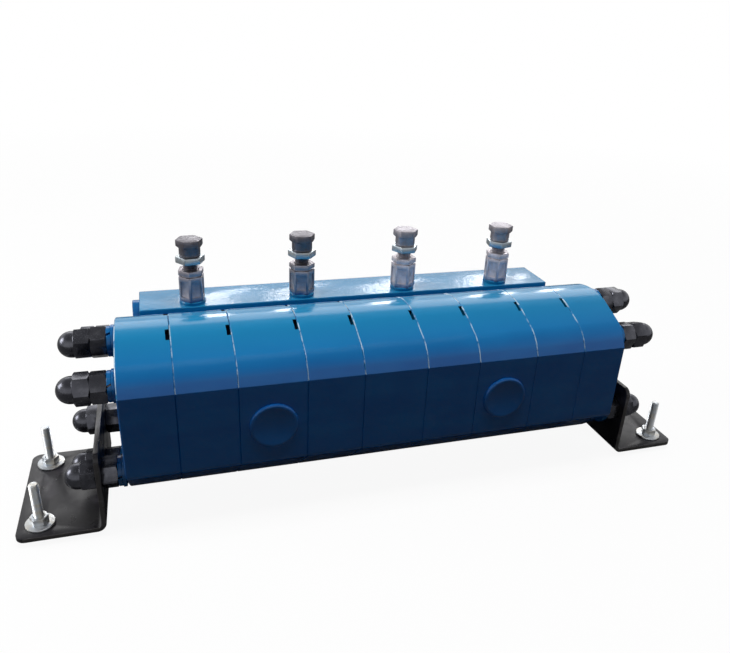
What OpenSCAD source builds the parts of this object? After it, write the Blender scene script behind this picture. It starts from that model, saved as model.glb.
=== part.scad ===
// Gear flow divider: four gear sections share one shaft line and split a flow into four equal parts.
// The stack is clamped by six tie rods, stands on two angle brackets and carries a valve manifold behind it.
// X runs along the shafts, Y runs from the inlet face to the outlet face, Z is up and zero is the floor.

/* [Section stack] */
// Thickness of each end cover
end_cover_t = 44; // [40:1:60]
// Thickness of each gear section
gear_section_t = 50; // [44:1:64]
// Thickness of each mid plate
mid_plate_t = 58; // [52:1:80]
// Depth of the stack from its front flat to its rear flat
stack_depth = 132; // [130:1:140]
// Height of the crown above the centre line
crown_h = 75.8; // [75:0.1:80]
// Radius of the crown
crown_r = 64; // [56:1:65]
// Slope of the shoulders beside the crown, in degrees
shoulder_angle = 24; // [23:0.5:26]
// Radius where a shoulder bends down to its brow
shoulder_r = 30; // [20:1:40]
// How far the brow above a side flat leans inwards, in degrees
brow_angle = 26; // [20:1:32]
// Height above the centre line where a side flat ends in its crease
crease_z = 39.5; // [36:0.5:41]
// Radius along that crease
crease_r = 1.5; // [1.2:0.1:3]
// Depth of the flat bottom below the centre line
bottom_h = 72; // [70:1:76]
// Width of the flat bottom
bottom_w = 52; // [46:1:58]
// Height of the two lower bevels
bevel_h = 36; // [30:1:38]
// Radius at both ends of a lower bevel
bevel_r = 6; // [3:1:8]
// Small relief along the outer edges of every plate
edge_relief = 0.6; // [0.3:0.1:1]

/* [Pry slots] */
// Length of a pry slot along the crown
pry_slot_l = 11; // [8:0.5:14]
// Width of a pry slot
pry_slot_w = 3.5; // [2.5:0.5:5]
// Depth of a pry slot
pry_slot_depth = 4; // [2:0.5:5]
// Distance of a pry slot from the middle of the crown
pry_slot_y = 21.5; // [18:0.5:24]

/* [Tie rods] */
// Diameter of the circle through the six tie rods
rod_circle_d = 120; // [118:1:122]
// Angle of the corner rods above the centre line
rod_angle = 43; // [41:0.5:45]
// Diameter of a tie rod
rod_d = 16; // [14:0.5:16]
// Width across flats of the tie rod nuts
rod_nut_af = 24; // [22:0.5:24]
// Height of a hexagon nut on a tie rod
rod_nut_h = 13; // [11:0.5:16]
// Height of the hexagon of a dome nut
dome_hex_h = 12.5; // [11:0.5:16]
// Radius of the dome of a dome nut
dome_r = 11.2; // [10.4:0.1:11.4]
// Straight length between the hexagon and the round end of a dome nut
dome_neck_h = 2.3; // [1:0.1:4]
// Outer diameter of a plain washer on a tie rod
rod_washer_d = 28; // [27:0.5:30]
// Thickness of a plain washer on a tie rod
rod_washer_t = 3; // [2:0.5:4]
// Outer diameter of a spring washer on a tie rod
rod_spring_washer_d = 26; // [24:0.5:27]
// Thickness of a spring washer on a tie rod
rod_spring_washer_t = 3.5; // [2.5:0.5:4.5]
// Width of the split in a spring washer
spring_washer_split = 2.4; // [1.5:0.1:3]

/* [Brackets] */
// Width of a bracket from front to rear
bracket_w = 123; // [118:1:130]
// Thickness of the bracket plate
bracket_t = 4; // [3:0.5:5]
// Height of the centre line above the top of the foot
centre_above_foot = 84; // [80:1:100]
// Height of the leg above the top of the foot
bracket_leg_h = 71; // [68:1:74]
// Reach of the foot past the inner face of the leg
bracket_foot_l = 72; // [66:1:80]
// Inner radius of the bend
bracket_bend_r = 4; // [2:0.5:6]
// Radius of the plate corners
bracket_corner_r = 8; // [5:1:12]
// Distance of the foot bolts from the outer edge of the foot
foot_bolt_edge = 18; // [16:1:22]
// Distance between the two foot bolts of one bracket
foot_bolt_span = 88; // [84:1:92]

/* [Foot bolts] */
// Diameter of a foot bolt
foot_bolt_d = 8; // [6:0.5:8]
// Length of a foot bolt under its head
foot_bolt_l = 45; // [35:1:50]
// Width across flats of the head and nut of a foot bolt
foot_bolt_af = 13; // [12:0.5:14]
// Height of the head of a foot bolt
foot_bolt_head_h = 5.3; // [4:0.1:6]
// Height of the nut on a foot bolt
foot_nut_h = 6.5; // [5:0.1:8]
// Outer diameter of the washer on a foot bolt
foot_washer_d = 24; // [20:1:26]
// Thickness of the washer on a foot bolt
foot_washer_t = 2; // [1.5:0.1:2.5]

/* [Gears] */
// Module of the gears
gear_module = 3.5; // [3.4:0.05:3.55]
// Tip radius of a gear
gear_tip_r = 24.5; // [24.2:0.1:24.6]
// Root radius of a gear
gear_root_r = 16.8; // [16:0.1:16.9]
// Pressure angle of the teeth, in degrees
pressure_angle = 25; // [24:0.5:26]
// Width of a gear
gear_w = 22; // [18:1:26]
// Diameter of the gear journals
journal_d = 20; // [18:1:22]
// Play between the flanks of two teeth
backlash = 0.2; // [0.15:0.05:0.3]
// Diameter of the splined stubs between the drive gears
spline_d = 16; // [14:1:17]
// Depth of the splines
spline_depth = 1.6; // [1:0.1:2]
// Width of one spline
spline_w = 3.5; // [3:0.1:4.5]
// Outer diameter of a shaft coupling
coupling_d = 26; // [24:1:28]
// Length of a shaft coupling
coupling_l = 44; // [36:1:48]

/* [Ports] */
// Core diameter of the inlet ports in the front, a one inch pipe thread
inlet_d = 30.3; // [26:0.1:31]
// Depth of the inlet ports
inlet_depth = 20; // [16:1:24]
// Core diameter of the outlet ports at the rear, a three quarter inch pipe thread
outlet_d = 24.1; // [20:0.1:26]
// Depth of the outlet ports
outlet_depth = 18; // [14:1:20]
// Diameter of the drilled oil ways
oil_way_d = 14; // [12:0.5:15]
// Distance of the inlet gallery from the middle of the stack
inlet_gallery_y = 44; // [43:0.5:46]

/* [Inlet caps] */
// Diameter of an inlet cap
cap_d = 42; // [36:1:46]
// Height of an inlet cap above the front flat
cap_h = 2.5; // [2:0.1:4]
// Depth of the plug of an inlet cap
cap_plug_l = 12; // [8:1:15]
// Wall of the plug of an inlet cap
cap_plug_wall = 2; // [1.5:0.1:3]
// Bevel round the face of an inlet cap
cap_bevel = 0.8; // [0.4:0.1:1.2]

/* [Valve manifold] */
// How far the manifold stops short of the left end of the stack
manifold_left_inset = 19; // [10:0.5:24]
// How far the manifold stops short of the right end of the stack
manifold_right_inset = 12; // [10:0.5:24]
// Depth of the manifold from front to rear
manifold_depth = 50; // [46:1:60]
// Height of the manifold above the centre line
manifold_above = 58; // [54:1:64]
// Height of the manifold below the centre line
manifold_below = 21; // [19:1:30]
// Bevel along the edges of the manifold
manifold_bevel = 1; // [0.5:0.1:1.5]
// Depth of the return gallery below the top of the manifold
return_drop = 17; // [15:0.5:20]
// Distance of the return gallery from the front of the manifold
return_setback = 26; // [24:0.5:28]
// Diameter of the plugs at the ends of the return gallery
gallery_plug_d = 18; // [17:0.5:22]
// How far a gallery plug stands out of the manifold
gallery_plug_h = 6.5; // [4:0.5:8]
// Thread diameter of the manifold screws
manifold_screw_d = 8; // [6:0.5:8]
// How deep a manifold screw reaches into its plate
manifold_screw_grip = 18; // [14:1:20]
// Height of the upper row of manifold screws above the centre line
upper_screw_z = 24; // [22:0.5:26]
// Depth of the lower row of manifold screws below the centre line
lower_screw_z = 12; // [10:0.5:12.5]

/* [Relief valves] */
// Distance of the valves from the front of the manifold
valve_setback = 14; // [13.5:0.5:16]
// Width across flats of a valve body
valve_af = 22; // [22:0.5:24]
// Diameter of the raised seat under a valve
valve_boss_d = 25; // [24:0.5:26]
// Height of the raised seat under a valve
valve_boss_h = 3.3; // [2:0.1:5]
// Height of the hexagon of a valve body
valve_hex_h = 24.5; // [22:0.5:30]
// Height of the turned groove above that hexagon
valve_groove_h = 1.5; // [1:0.1:2.5]
// Depth of that groove
valve_groove_depth = 1.4; // [0.8:0.1:2]
// Height of the hexagon collar at the top of a valve body
valve_collar_h = 4.7; // [4:0.1:7]
// Height of open thread below the lock nut
open_thread_h = 7.3; // [7.3:0.1:10]
// Height of a lock nut
lock_nut_h = 6; // [5:0.1:8]
// Width across flats of a lock nut
lock_nut_af = 24; // [22:0.5:25]
// Diameter of the neck of an adjuster
adjuster_neck_d = 20; // [17:0.5:21]
// Height of the neck of an adjuster
adjuster_neck_h = 9.2; // [7:0.1:12]
// Height of the hexagon head of an adjuster
adjuster_head_h = 7; // [5:0.1:9]
// Diameter of the thread of an adjuster
adjuster_d = 14; // [13:0.1:14.5]
// Length of thread that the adjuster has inside the valve body
adjuster_hold_l = 20; // [16:0.5:22]
// Diameter of the screwed end of a valve body
cartridge_d = 22; // [21:0.5:22]
// Length of the screwed end of a valve body
cartridge_l = 20; // [18:0.5:22]
// Diameter of the nose of a valve body
nose_d = 19; // [18.5:0.1:19.5]
// Depth of the valve seat below the top of the manifold
seat_depth = 26; // [25:0.5:28]
// Thickness of the valve seat
seat_t = 4; // [3:0.5:5]
// Diameter of the opening in the valve seat
seat_bore_d = 8; // [6:0.5:9]
// Width of the milled window in a flat of the valve body
window_w = 9; // [6:0.5:10]
// Height of the milled window in a flat of the valve body
window_h = 16; // [10:0.5:18]
// Depth of the milled window
window_depth = 0.8; // [0.4:0.1:1.2]
// Diameter of the cross holes in the nose of a valve body
nose_hole_d = 5; // [4:0.5:5.5]
// Wire diameter of a valve spring
spring_wire_d = 1.8; // [1.4:0.1:2]
// Turns of a valve spring
spring_turns = 6; // [5:1:7]
// Diameter of the face of a poppet on its seat
poppet_face_d = 10; // [9.5:0.5:11]
// Height of the face below the rim of a poppet
poppet_face_h = 6; // [5:0.5:7]
// Thickness of the rim of a poppet
poppet_rim_h = 4; // [3:0.5:5]
// Length of the pin of a poppet above its rim
poppet_pin_l = 4; // [3:0.5:6]
// Diameter of the pin of a poppet or a spring seat
spring_pin_d = 7; // [5:0.5:8]
// Thickness of the disc of a spring seat
spring_seat_t = 4; // [3:0.5:5]
// Length of the pin of a spring seat
spring_seat_pin_l = 5; // [3:0.5:6]

/* [Clearances] */
// Gap round a tie rod in the plates
rod_gap = 0.5; // [0.3:0.1:0.8]
// Gap round a bolt in its bracket, washer or nut
bolt_gap = 0.2; // [0.1:0.05:0.5]
// Gap round a journal in its bearing
journal_gap = 0.04; // [0.02:0.01:0.08]
// Gap between gear tips and the chamber
tip_gap = 0.1; // [0.06:0.02:0.2]
// Gap at each side of a gear
side_gap = 0.04; // [0.02:0.01:0.08]
// Gap round a bearing block
block_gap = 0.05; // [0.02:0.01:0.1]
// Gap round a shaft coupling in its mid plate
coupling_gap = 1; // [0.5:0.1:1.5]
// Gap round a sliding or screwed piece of a valve
valve_gap = 0.08; // [0.05:0.01:0.1]
// Gap round a seal in its groove
seal_gap = 0.1; // [0.05:0.01:0.2]
// Gap round the plug of an inlet cap
cap_gap = 0.25; // [0.1:0.05:0.4]

/* [Hidden] */
$fn = 64;

// One overrun serves every cut
over = 1;
// How far a corner arc stands over its straight sides, so that the two join cleanly
arc_bite = 0.002;
// Number of gear sections, which the node names follow
sections = 4;
// Number of teeth on a gear, with which the centre distance is set
teeth = 12;
// Points on one involute flank
flank_steps = 4;
// Bevel angle of hexagon corners, in degrees
hex_bevel_angle = 30;
// Thread pitch point of a bolt end
bolt_tip = 1;
// Depth of a socket in a screw head as a share of the head
socket_share = 0.55;
// Width across flats of a socket as a share of the thread
socket_af_share = 0.75;
// Head diameter of a socket screw as a share of the thread
socket_head_share = 1.625;
// Round section of the seals
seal_d = 2.4;
// Squeeze of a seal in its groove
seal_squeeze = 0.3;
// Distance of the chamber seal from the gear chamber
seal_land = 2.4;
// Distance of a round seal from its oil way
ring_land = 1.5;
// Bevel of the shaft ends and stubs
shaft_bevel = 0.8;
// Axial play of shafts and couplings in their plates
shaft_play = 0.5;

// Places along the stack
stack_l = 2 * end_cover_t + sections * gear_section_t + (sections - 1) * mid_plate_t;
function plate_t(i) = i == 0 || i == 2 * sections ? end_cover_t : i % 2 == 1 ? gear_section_t : mid_plate_t;
function plate_x(i) = i == 0 ? -stack_l / 2
    : -stack_l / 2 + end_cover_t + ceil((i - 1) / 2) * gear_section_t + floor((i - 1) / 2) * mid_plate_t;
function section_x(k) = plate_x(2 * k - 1) + gear_section_t / 2;
function inlet_x(k) = plate_x(4 * k - 2) + mid_plate_t / 2;

// Places across the stack, set so that the whole object stands over the origin
front_reach = stack_depth / 2 + cap_h;
rear_reach = stack_depth / 2 + manifold_depth;
body_y = (front_reach - rear_reach) / 2;
foot_z = foot_bolt_head_h;
foot_top_z = foot_z + bracket_t;
body_z = foot_top_z + centre_above_foot;

// The outline of the plates, as corner points and corner radii
half_depth = stack_depth / 2;
crown_apex = crown_h + crown_r * (1 / cos(shoulder_angle) - 1);
shoulder_z = crown_apex - half_depth * tan(shoulder_angle);
brow_depth = (shoulder_z - crease_z) / (1 / tan(brow_angle) - tan(shoulder_angle));
brow_y = half_depth - brow_depth;
brow_z = crease_z + brow_depth / tan(brow_angle);
outline_points = [
    [half_depth, crease_z], [brow_y, brow_z], [0, crown_apex], [-brow_y, brow_z], [-half_depth, crease_z],
    [-half_depth, bevel_h - bottom_h], [-bottom_w / 2, -bottom_h],
    [bottom_w / 2, -bottom_h], [half_depth, bevel_h - bottom_h]
];
outline_radii = [
    crease_r, shoulder_r, crown_r, shoulder_r, crease_r,
    bevel_r, bevel_r, bevel_r, bevel_r
];

// Tie rods and what is stacked on them
rod_angles = [rod_angle, 90, 180 - rod_angle, 180 + rod_angle, 270, 360 - rod_angle];
upper_rod_angles = [for (a = rod_angles) if (sin(a) > 0) a];
lower_rod_angles = [for (a = rod_angles) if (sin(a) < 0) a];
function rod_point(a) = rod_circle_d / 2 * [cos(a), sin(a)];
nut_seat = rod_washer_t + rod_spring_washer_t;
leg_seat = nut_seat + rod_nut_h;
function dome_seat(a) = leg_seat + (sin(a) < 0 ? bracket_t : 0);

// Gears
centre_distance = teeth * gear_module;
pitch_r = centre_distance / 2;
base_r = pitch_r * cos(pressure_angle);
block_l = (gear_section_t - gear_w) / 2;
chamber_r = gear_tip_r + tip_gap;
drive_z = centre_distance / 2;
journal_end = gear_section_t / 2 - shaft_play;
spline_reach = (mid_plate_t - shaft_play) / 2;

// How far each hexagon of a valve was turned when it was screwed home, in degrees
body_turns = [19, 46, 36, 14];
lock_nut_turns = [6, 53, 0, 18];
head_turns = [6, 59, 49, 37];

// Manifold and valves
manifold_y = body_y + half_depth;
manifold_top_z = body_z + manifold_above;
valve_y = manifold_y + valve_setback;
outlet_y = manifold_y + manifold_depth;
valve_hex_top = valve_boss_h + valve_hex_h;
collar_z = valve_hex_top + valve_groove_h;
collar_top = collar_z + valve_collar_h;
lock_nut_z = collar_top + open_thread_h;
neck_z = lock_nut_z + lock_nut_h;
head_z = neck_z + adjuster_neck_h;
adjuster_tip_z = collar_top - adjuster_hold_l;
bore_d = adjuster_d + 2 * valve_gap;
slider_d = adjuster_d;
spring_mean_d = spring_pin_d + 2 * seal_gap + spring_wire_d;
poppet_top = poppet_face_h + poppet_rim_h - seat_depth;
spring_top = adjuster_tip_z - spring_seat_t;
nose_end = seat_depth + seat_t;
screw_head_d = manifold_screw_d * socket_head_share;

painted = "#1a64a5";
cap_blue = "#17568f";
black_oxide = "#26262a";
black_steel = "#33333a";
bright_zinc = "#c9ccd2";
valve_steel = "#8a8894";
bearing_bronze = "#b08d57";
gear_steel = "#a9adb3";
seal_black = "#1b1b1b";
spring_steel = "#7d8087";

// Corner points moved inwards by an inset, and round corners as true circles between straight sides
function unit(v) = v / norm(v);
function side_to(points, i, step) = unit(points[(i + step + len(points)) % len(points)] - points[i]);
function corner_angle(points, i) = acos(side_to(points, i, 1) * side_to(points, i, -1));
function inset_points(points, inset) = [
    for (i = [0:len(points) - 1])
        points[i] + (side_to(points, i, 1) + side_to(points, i, -1)) * inset / sin(corner_angle(points, i))
];
function corner_run(points, i, r) = r / tan(corner_angle(points, i) / 2);
function corner_centre(points, i, r) =
    points[i] + unit(side_to(points, i, 1) + side_to(points, i, -1)) * r / sin(corner_angle(points, i) / 2);

module round_cornered(points, radii) {
    polygon([
        for (i = [0:len(points) - 1], step = [-1, 1])
            points[i] + side_to(points, i, step) * corner_run(points, i, radii[i])
    ]);
    for (i = [0:len(points) - 1])
        translate(corner_centre(points, i, radii[i]))
            circle(r = radii[i] + arc_bite, $fn = 96);
}

module plate_outline(inset = 0)
    round_cornered(inset_points(outline_points, inset), [for (r = outline_radii) r - inset]);

// In this frame X and Y are the Y and Z of the stack, and Z runs along the shafts from x
module section_frame(x)
    translate([x, body_y, body_z])
        rotate([90, 0, 90])
            children();

// In this frame Z runs to the rear from a point on the plane y
module rearward(x, y, z)
    translate([x, y, z])
        rotate([-90, 0, 0])
            children();

// Turned and hexagon pieces
module ring(d, bore, h)
    difference() {
        cylinder(d = d, h = h);
        translate([0, 0, -over])
            cylinder(d = bore, h = h + 2 * over);
    }

// A hexagon whose corners are turned off at the chosen ends
module hexagon(af, h, lower = true, upper = true) {
    corner_d = af / cos(30);
    bevel = (corner_d - af) / 2;
    drop = bevel * tan(hex_bevel_angle);
    intersection() {
        cylinder(d = corner_d, h = h, $fn = 6);
        union() {
            translate([0, 0, lower ? drop : 0])
                cylinder(d = corner_d, h = h - (lower ? drop : 0) - (upper ? drop : 0));
            if (lower) cylinder(d1 = af, d2 = corner_d, h = drop);
            if (upper) translate([0, 0, h - drop]) cylinder(d1 = corner_d, d2 = af, h = drop);
        }
    }
}

module hex_nut(af, h, bore)
    difference() {
        hexagon(af, h);
        translate([0, 0, -over])
            cylinder(d = bore, h = h + 2 * over);
    }

// A shaft with both ends bevelled
module bevelled_rod(d, l, bevel) {
    cylinder(d1 = d - 2 * bevel, d2 = d, h = bevel);
    translate([0, 0, bevel])
        cylinder(d = d, h = l - 2 * bevel);
    translate([0, 0, l - bevel])
        cylinder(d1 = d, d2 = d - 2 * bevel, h = bevel);
}

module torus(d, section)
    rotate_extrude()
        translate([d / 2, 0])
            circle(d = section, $fn = 24);

// An oblong through both gear centres
module gear_oblong(r) {
    for (side = [-1, 1])
        translate([0, side * centre_distance / 2])
            circle(r = r);
    square([2 * r, centre_distance], center = true);
}

module figure_eight(r)
    for (side = [-1, 1])
        translate([0, side * centre_distance / 2])
            circle(r = r);

// Seal sizes, which the grooves follow
chamber_seal_r = chamber_r + seal_land;
seal_depth = seal_d - seal_squeeze;
gallery_seal_d = oil_way_d + 2 * ring_land + seal_d;

module seal_grooves() {
    linear_extrude(seal_depth + seal_gap)
        difference() {
            gear_oblong(chamber_seal_r + seal_d + seal_gap);
            gear_oblong(chamber_seal_r - seal_gap);
        }
}

module gallery_groove()
    translate([-inlet_gallery_y, 0])
        ring(gallery_seal_d + seal_d + 2 * seal_gap, gallery_seal_d - seal_d - 2 * seal_gap, seal_depth + seal_gap);

module chamber_seal()
    linear_extrude(seal_depth)
        difference() {
            gear_oblong(chamber_seal_r + seal_d);
            gear_oblong(chamber_seal_r);
        }

module gallery_seal()
    translate([-inlet_gallery_y, 0])
        ring(gallery_seal_d + seal_d, gallery_seal_d - seal_d, seal_depth);

// Puts its children on the left face of a plate, or turned over on its right face
module on_left_face(i) section_frame(plate_x(i)) children();
module on_right_face(i) section_frame(plate_x(i) + plate_t(i)) mirror([0, 0, 1]) children();

// Plates of the stack
module rod_holes(l)
    for (a = rod_angles)
        translate(concat(rod_point(a), -over))
            cylinder(d = rod_d + 2 * rod_gap, h = l + 2 * over);

pry_slot_angle = asin(pry_slot_y / crown_r);
module pry_slots(l)
    for (side = [-1, 1])
        translate([0, crown_h - crown_r])
            rotate(side * pry_slot_angle)
                translate([-pry_slot_l / 2, crown_r - pry_slot_depth, l - pry_slot_w])
                    cube([pry_slot_l, pry_slot_depth + over, pry_slot_w + over]);

module plate_blank(i) {
    t = plate_t(i);
    difference() {
        union() {
            linear_extrude(t)
                plate_outline(edge_relief);
            translate([0, 0, edge_relief])
                linear_extrude(t - 2 * edge_relief)
                    plate_outline();
        }
        rod_holes(t);
        if (i < 2 * sections)
            pry_slots(t);
    }
}

// Blind threaded holes in the rear flat for the manifold screws
module manifold_screw_holes(x)
    for (z = [upper_screw_z, -lower_screw_z])
        rearward(x, manifold_y - manifold_screw_grip - over, body_z + z)
            cylinder(d = manifold_screw_d + 2 * bolt_gap, h = manifold_screw_grip + 2 * over);

manifold_screw_plates = [for (k = [1:sections - 1]) 2 * k];

module end_cover(i)
    color(painted)
        difference() {
            section_frame(plate_x(i)) plate_blank(i);
            if (i == 0) on_right_face(i) seal_grooves();
            else on_left_face(i) seal_grooves();
        }

module gear_section(k)
    color(painted)
        difference() {
            section_frame(plate_x(2 * k - 1)) {
                difference() {
                    plate_blank(2 * k - 1);
                    translate([0, 0, -over])
                        linear_extrude(gear_section_t + 2 * over)
                            figure_eight(chamber_r);
                    inlet_gallery_cut(k);
                }
            }
            rearward(section_x(k), body_y - inlet_gallery_y, body_z)
                cylinder(d = oil_way_d, h = inlet_gallery_y + half_depth + over);
        }

// The gallery stops short in the outer gear sections
module inlet_gallery_cut(k) {
    start = k == 1 ? gear_section_t / 2 - oil_way_d / 2 : -over;
    end = k == sections ? gear_section_t / 2 + oil_way_d / 2 : gear_section_t + over;
    translate([-inlet_gallery_y, 0, start])
        cylinder(d = oil_way_d, h = end - start);
}

module mid_plate(k) {
    i = 2 * k;
    color(painted)
        difference() {
            section_frame(plate_x(i))
                difference() {
                    plate_blank(i);
                    translate([0, drive_z, -over])
                        cylinder(d = coupling_d + 2 * coupling_gap, h = mid_plate_t + 2 * over);
                    translate([-inlet_gallery_y, 0, -over])
                        cylinder(d = oil_way_d, h = mid_plate_t + 2 * over);
                }
            on_left_face(i) seal_grooves();
            on_left_face(i) gallery_groove();
            on_right_face(i) seal_grooves();
            on_right_face(i) gallery_groove();
            manifold_screw_holes(plate_x(i) + mid_plate_t / 2);
            if (k != sections / 2)
                rearward(plate_x(i) + mid_plate_t / 2, body_y - half_depth - over, body_z)
                    cylinder(d = inlet_d, h = inlet_depth + over);
        }
}

// Seals between the plates
module section_seals()
    color(seal_black) {
        for (k = [1:sections]) {
            on_right_face(2 * k - 2) chamber_seal();
            on_left_face(2 * k) chamber_seal();
        }
        for (k = [1:sections - 1]) {
            on_left_face(2 * k) gallery_seal();
            on_right_face(2 * k) gallery_seal();
        }
    }

// Two bearing blocks carry the journals in each gear section
module bearing_blocks()
    color(bearing_bronze)
        for (k = [1:sections], side = [-1, 1])
            section_frame(section_x(k) + side * (gear_w + block_l) / 2)
                translate([0, 0, -block_l / 2])
                    linear_extrude(block_l)
                        difference() {
                            figure_eight(chamber_r - block_gap);
                            figure_eight(journal_d / 2 + journal_gap);
                        }

// Involute teeth, drawn as one outline
function involute_angle(r) = r <= base_r ? 0 : sqrt((r / base_r) ^ 2 - 1) * 180 / PI - acos(base_r / r);
half_tooth_angle = 90 / teeth - backlash / 2 / pitch_r * 180 / PI + involute_angle(pitch_r);
flank_start = max(base_r, gear_root_r);
function flank_r(j) = flank_start + (gear_tip_r - flank_start) * j / flank_steps;
function polar(r, a) = r * [cos(a), sin(a)];
function tooth_points(a) = concat(
    [polar(gear_root_r, a - half_tooth_angle)],
    [for (j = [0:flank_steps]) polar(flank_r(j), a - half_tooth_angle + involute_angle(flank_r(j)))],
    [for (j = [flank_steps:-1:0]) polar(flank_r(j), a + half_tooth_angle - involute_angle(flank_r(j)))],
    [polar(gear_root_r, a + half_tooth_angle)]
);
module gear_outline(turn)
    polygon([for (t = [0:teeth - 1]) each tooth_points(turn + t * 360 / teeth)]);

module gear_body(turn) {
    translate([0, 0, side_gap - gear_w / 2])
        linear_extrude(gear_w - 2 * side_gap)
            gear_outline(turn);
    translate([0, 0, -journal_end])
        bevelled_rod(journal_d, 2 * journal_end, shaft_bevel);
}

module splined_stub(l)
    linear_extrude(l) {
        circle(d = spline_d - 2 * spline_depth);
        for (a = [0:60:120])
            rotate(a)
                square([spline_d - 2 * bolt_gap, spline_w], center = true);
    }

// Drive gears share one shaft line through splined couplings, and the idlers run below them
module drive_gear(k)
    color(gear_steel)
        section_frame(section_x(k))
            translate([0, drive_z]) {
                gear_body(-90);
                if (k > 1)
                    translate([0, 0, -gear_section_t / 2 - spline_reach])
                        splined_stub(spline_reach + shaft_play + shaft_bevel);
                if (k < sections)
                    translate([0, 0, gear_section_t / 2 - shaft_play - shaft_bevel])
                        splined_stub(spline_reach + shaft_play + shaft_bevel);
            }

module idler_gear(k)
    color(gear_steel)
        section_frame(section_x(k))
            translate([0, -drive_z])
                gear_body(90 + 180 / teeth);

module shaft_couplings()
    color(gear_steel)
        for (k = [1:sections - 1])
            section_frame(plate_x(2 * k) + (mid_plate_t - coupling_l) / 2)
                translate([0, drive_z])
                    difference() {
                        bevelled_rod(coupling_d, coupling_l, shaft_bevel);
                        translate([0, 0, -over])
                            linear_extrude(coupling_l + 2 * over) {
                                circle(d = spline_d - 2 * spline_depth + 2 * bolt_gap);
                                for (a = [0:60:120])
                                    rotate(a)
                                        square([spline_d, spline_w + 2 * bolt_gap], center = true);
                            }
                    }

// Puts its children on both ends of the chosen tie rods, with Z pointing outwards from the end face
module on_rod_ends(angles)
    for (a = angles, side = [-1, 1])
        translate([side * stack_l / 2, body_y + rod_point(a).x, body_z + rod_point(a).y])
            rotate([0, side * 90, 0])
                children();

module tie_rods()
    color(black_oxide)
        for (a = rod_angles) {
            reach = dome_seat(a) + dome_hex_h;
            section_frame(-stack_l / 2 - reach)
                translate(rod_point(a))
                    bevelled_rod(rod_d, stack_l + 2 * reach, shaft_bevel);
        }

module tie_rod_washers()
    color(painted)
        on_rod_ends(rod_angles)
            ring(rod_washer_d, rod_d + 2 * rod_gap, rod_washer_t);

module tie_rod_spring_washers()
    color(painted)
        on_rod_ends(rod_angles)
            translate([0, 0, rod_washer_t])
                difference() {
                    ring(rod_spring_washer_d, rod_d + 2 * rod_gap, rod_spring_washer_t);
                    translate([0, -spring_washer_split / 2, -over])
                        cube([rod_spring_washer_d, spring_washer_split, rod_spring_washer_t + 2 * over]);
                }

module tie_rod_hex_nuts()
    color(black_oxide)
        on_rod_ends(rod_angles)
            translate([0, 0, nut_seat])
                hex_nut(rod_nut_af, rod_nut_h, rod_d + 2 * bolt_gap);

module dome_nut()
    difference() {
        union() {
            hexagon(rod_nut_af, dome_hex_h);
            cylinder(r = dome_r, h = dome_hex_h + dome_neck_h);
            translate([0, 0, dome_hex_h + dome_neck_h])
                sphere(r = dome_r);
        }
        translate([0, 0, -over])
            cylinder(d = rod_d + 2 * bolt_gap, h = dome_hex_h + dome_neck_h + over);
    }

module tie_rod_dome_nuts()
    color(black_oxide) {
        on_rod_ends(upper_rod_angles)
            translate([0, 0, leg_seat])
                dome_nut();
        on_rod_ends(lower_rod_angles)
            translate([0, 0, leg_seat + bracket_t])
                dome_nut();
    }

// Angle brackets, drawn with the inner face of the leg on the plane x = 0 and the foot towards +X
module rounded_plate(l, w, r) {
    square([l - r, w]);
    translate([0, r])
        square([l, w - 2 * r]);
    for (y = [r, w - r])
        translate([l - r, y])
            circle(r = r);
}

module bracket() {
    bend_outer_r = bracket_bend_r + bracket_t;
    difference() {
        union() {
            translate([bend_outer_r, 0, foot_z])
                linear_extrude(bracket_t)
                    rounded_plate(bracket_foot_l - bend_outer_r, bracket_w, bracket_corner_r);
            translate([bracket_t, 0, foot_z + bend_outer_r])
                rotate([0, -90, 0])
                    linear_extrude(bracket_t)
                        rounded_plate(bracket_leg_h + bracket_t - bend_outer_r, bracket_w, bracket_corner_r);
            translate([bend_outer_r, 0, foot_z + bend_outer_r])
                rotate([-90, 0, 0])
                    linear_extrude(bracket_w)
                        difference() {
                            intersection() {
                                circle(r = bend_outer_r);
                                translate([-bend_outer_r, 0])
                                    square(bend_outer_r);
                            }
                            circle(r = bracket_bend_r);
                        }
        }
        for (a = lower_rod_angles)
            translate([-over, bracket_w / 2 + rod_point(a).x, body_z + rod_point(a).y])
                rotate([0, 90, 0])
                    cylinder(d = rod_d + 2 * rod_gap, h = bracket_t + 2 * over);
        for (side = [-1, 1])
            translate([bracket_foot_l - foot_bolt_edge, bracket_w / 2 + side * foot_bolt_span / 2, foot_z - over])
                cylinder(d = foot_bolt_d + 2 * bolt_gap, h = bracket_t + 2 * over);
    }
}

module right_bracket()
    color(black_steel)
        translate([stack_l / 2 + leg_seat, body_y - bracket_w / 2, 0])
            bracket();

module left_bracket()
    color(black_steel)
        mirror([1, 0, 0])
            translate([stack_l / 2 + leg_seat, body_y - bracket_w / 2, 0])
                bracket();

// Foot bolts stand head down through the feet
foot_bolt_x = stack_l / 2 + leg_seat + bracket_foot_l - foot_bolt_edge;
module on_foot_bolts(z)
    for (x = [-foot_bolt_x, foot_bolt_x], side = [-1, 1])
        translate([x, body_y + side * foot_bolt_span / 2, z])
            children();

module foot_bolts()
    color(bright_zinc)
        on_foot_bolts(0) {
            hexagon(foot_bolt_af, foot_bolt_head_h, upper = false);
            cylinder(d = foot_bolt_d, h = foot_bolt_head_h + foot_bolt_l - bolt_tip);
            translate([0, 0, foot_bolt_head_h + foot_bolt_l - bolt_tip])
                cylinder(d1 = foot_bolt_d, d2 = foot_bolt_d - 2 * bolt_tip, h = bolt_tip);
        }

module foot_washers()
    color(bright_zinc)
        on_foot_bolts(foot_top_z)
            ring(foot_washer_d, foot_bolt_d + 2 * bolt_gap, foot_washer_t);

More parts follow.
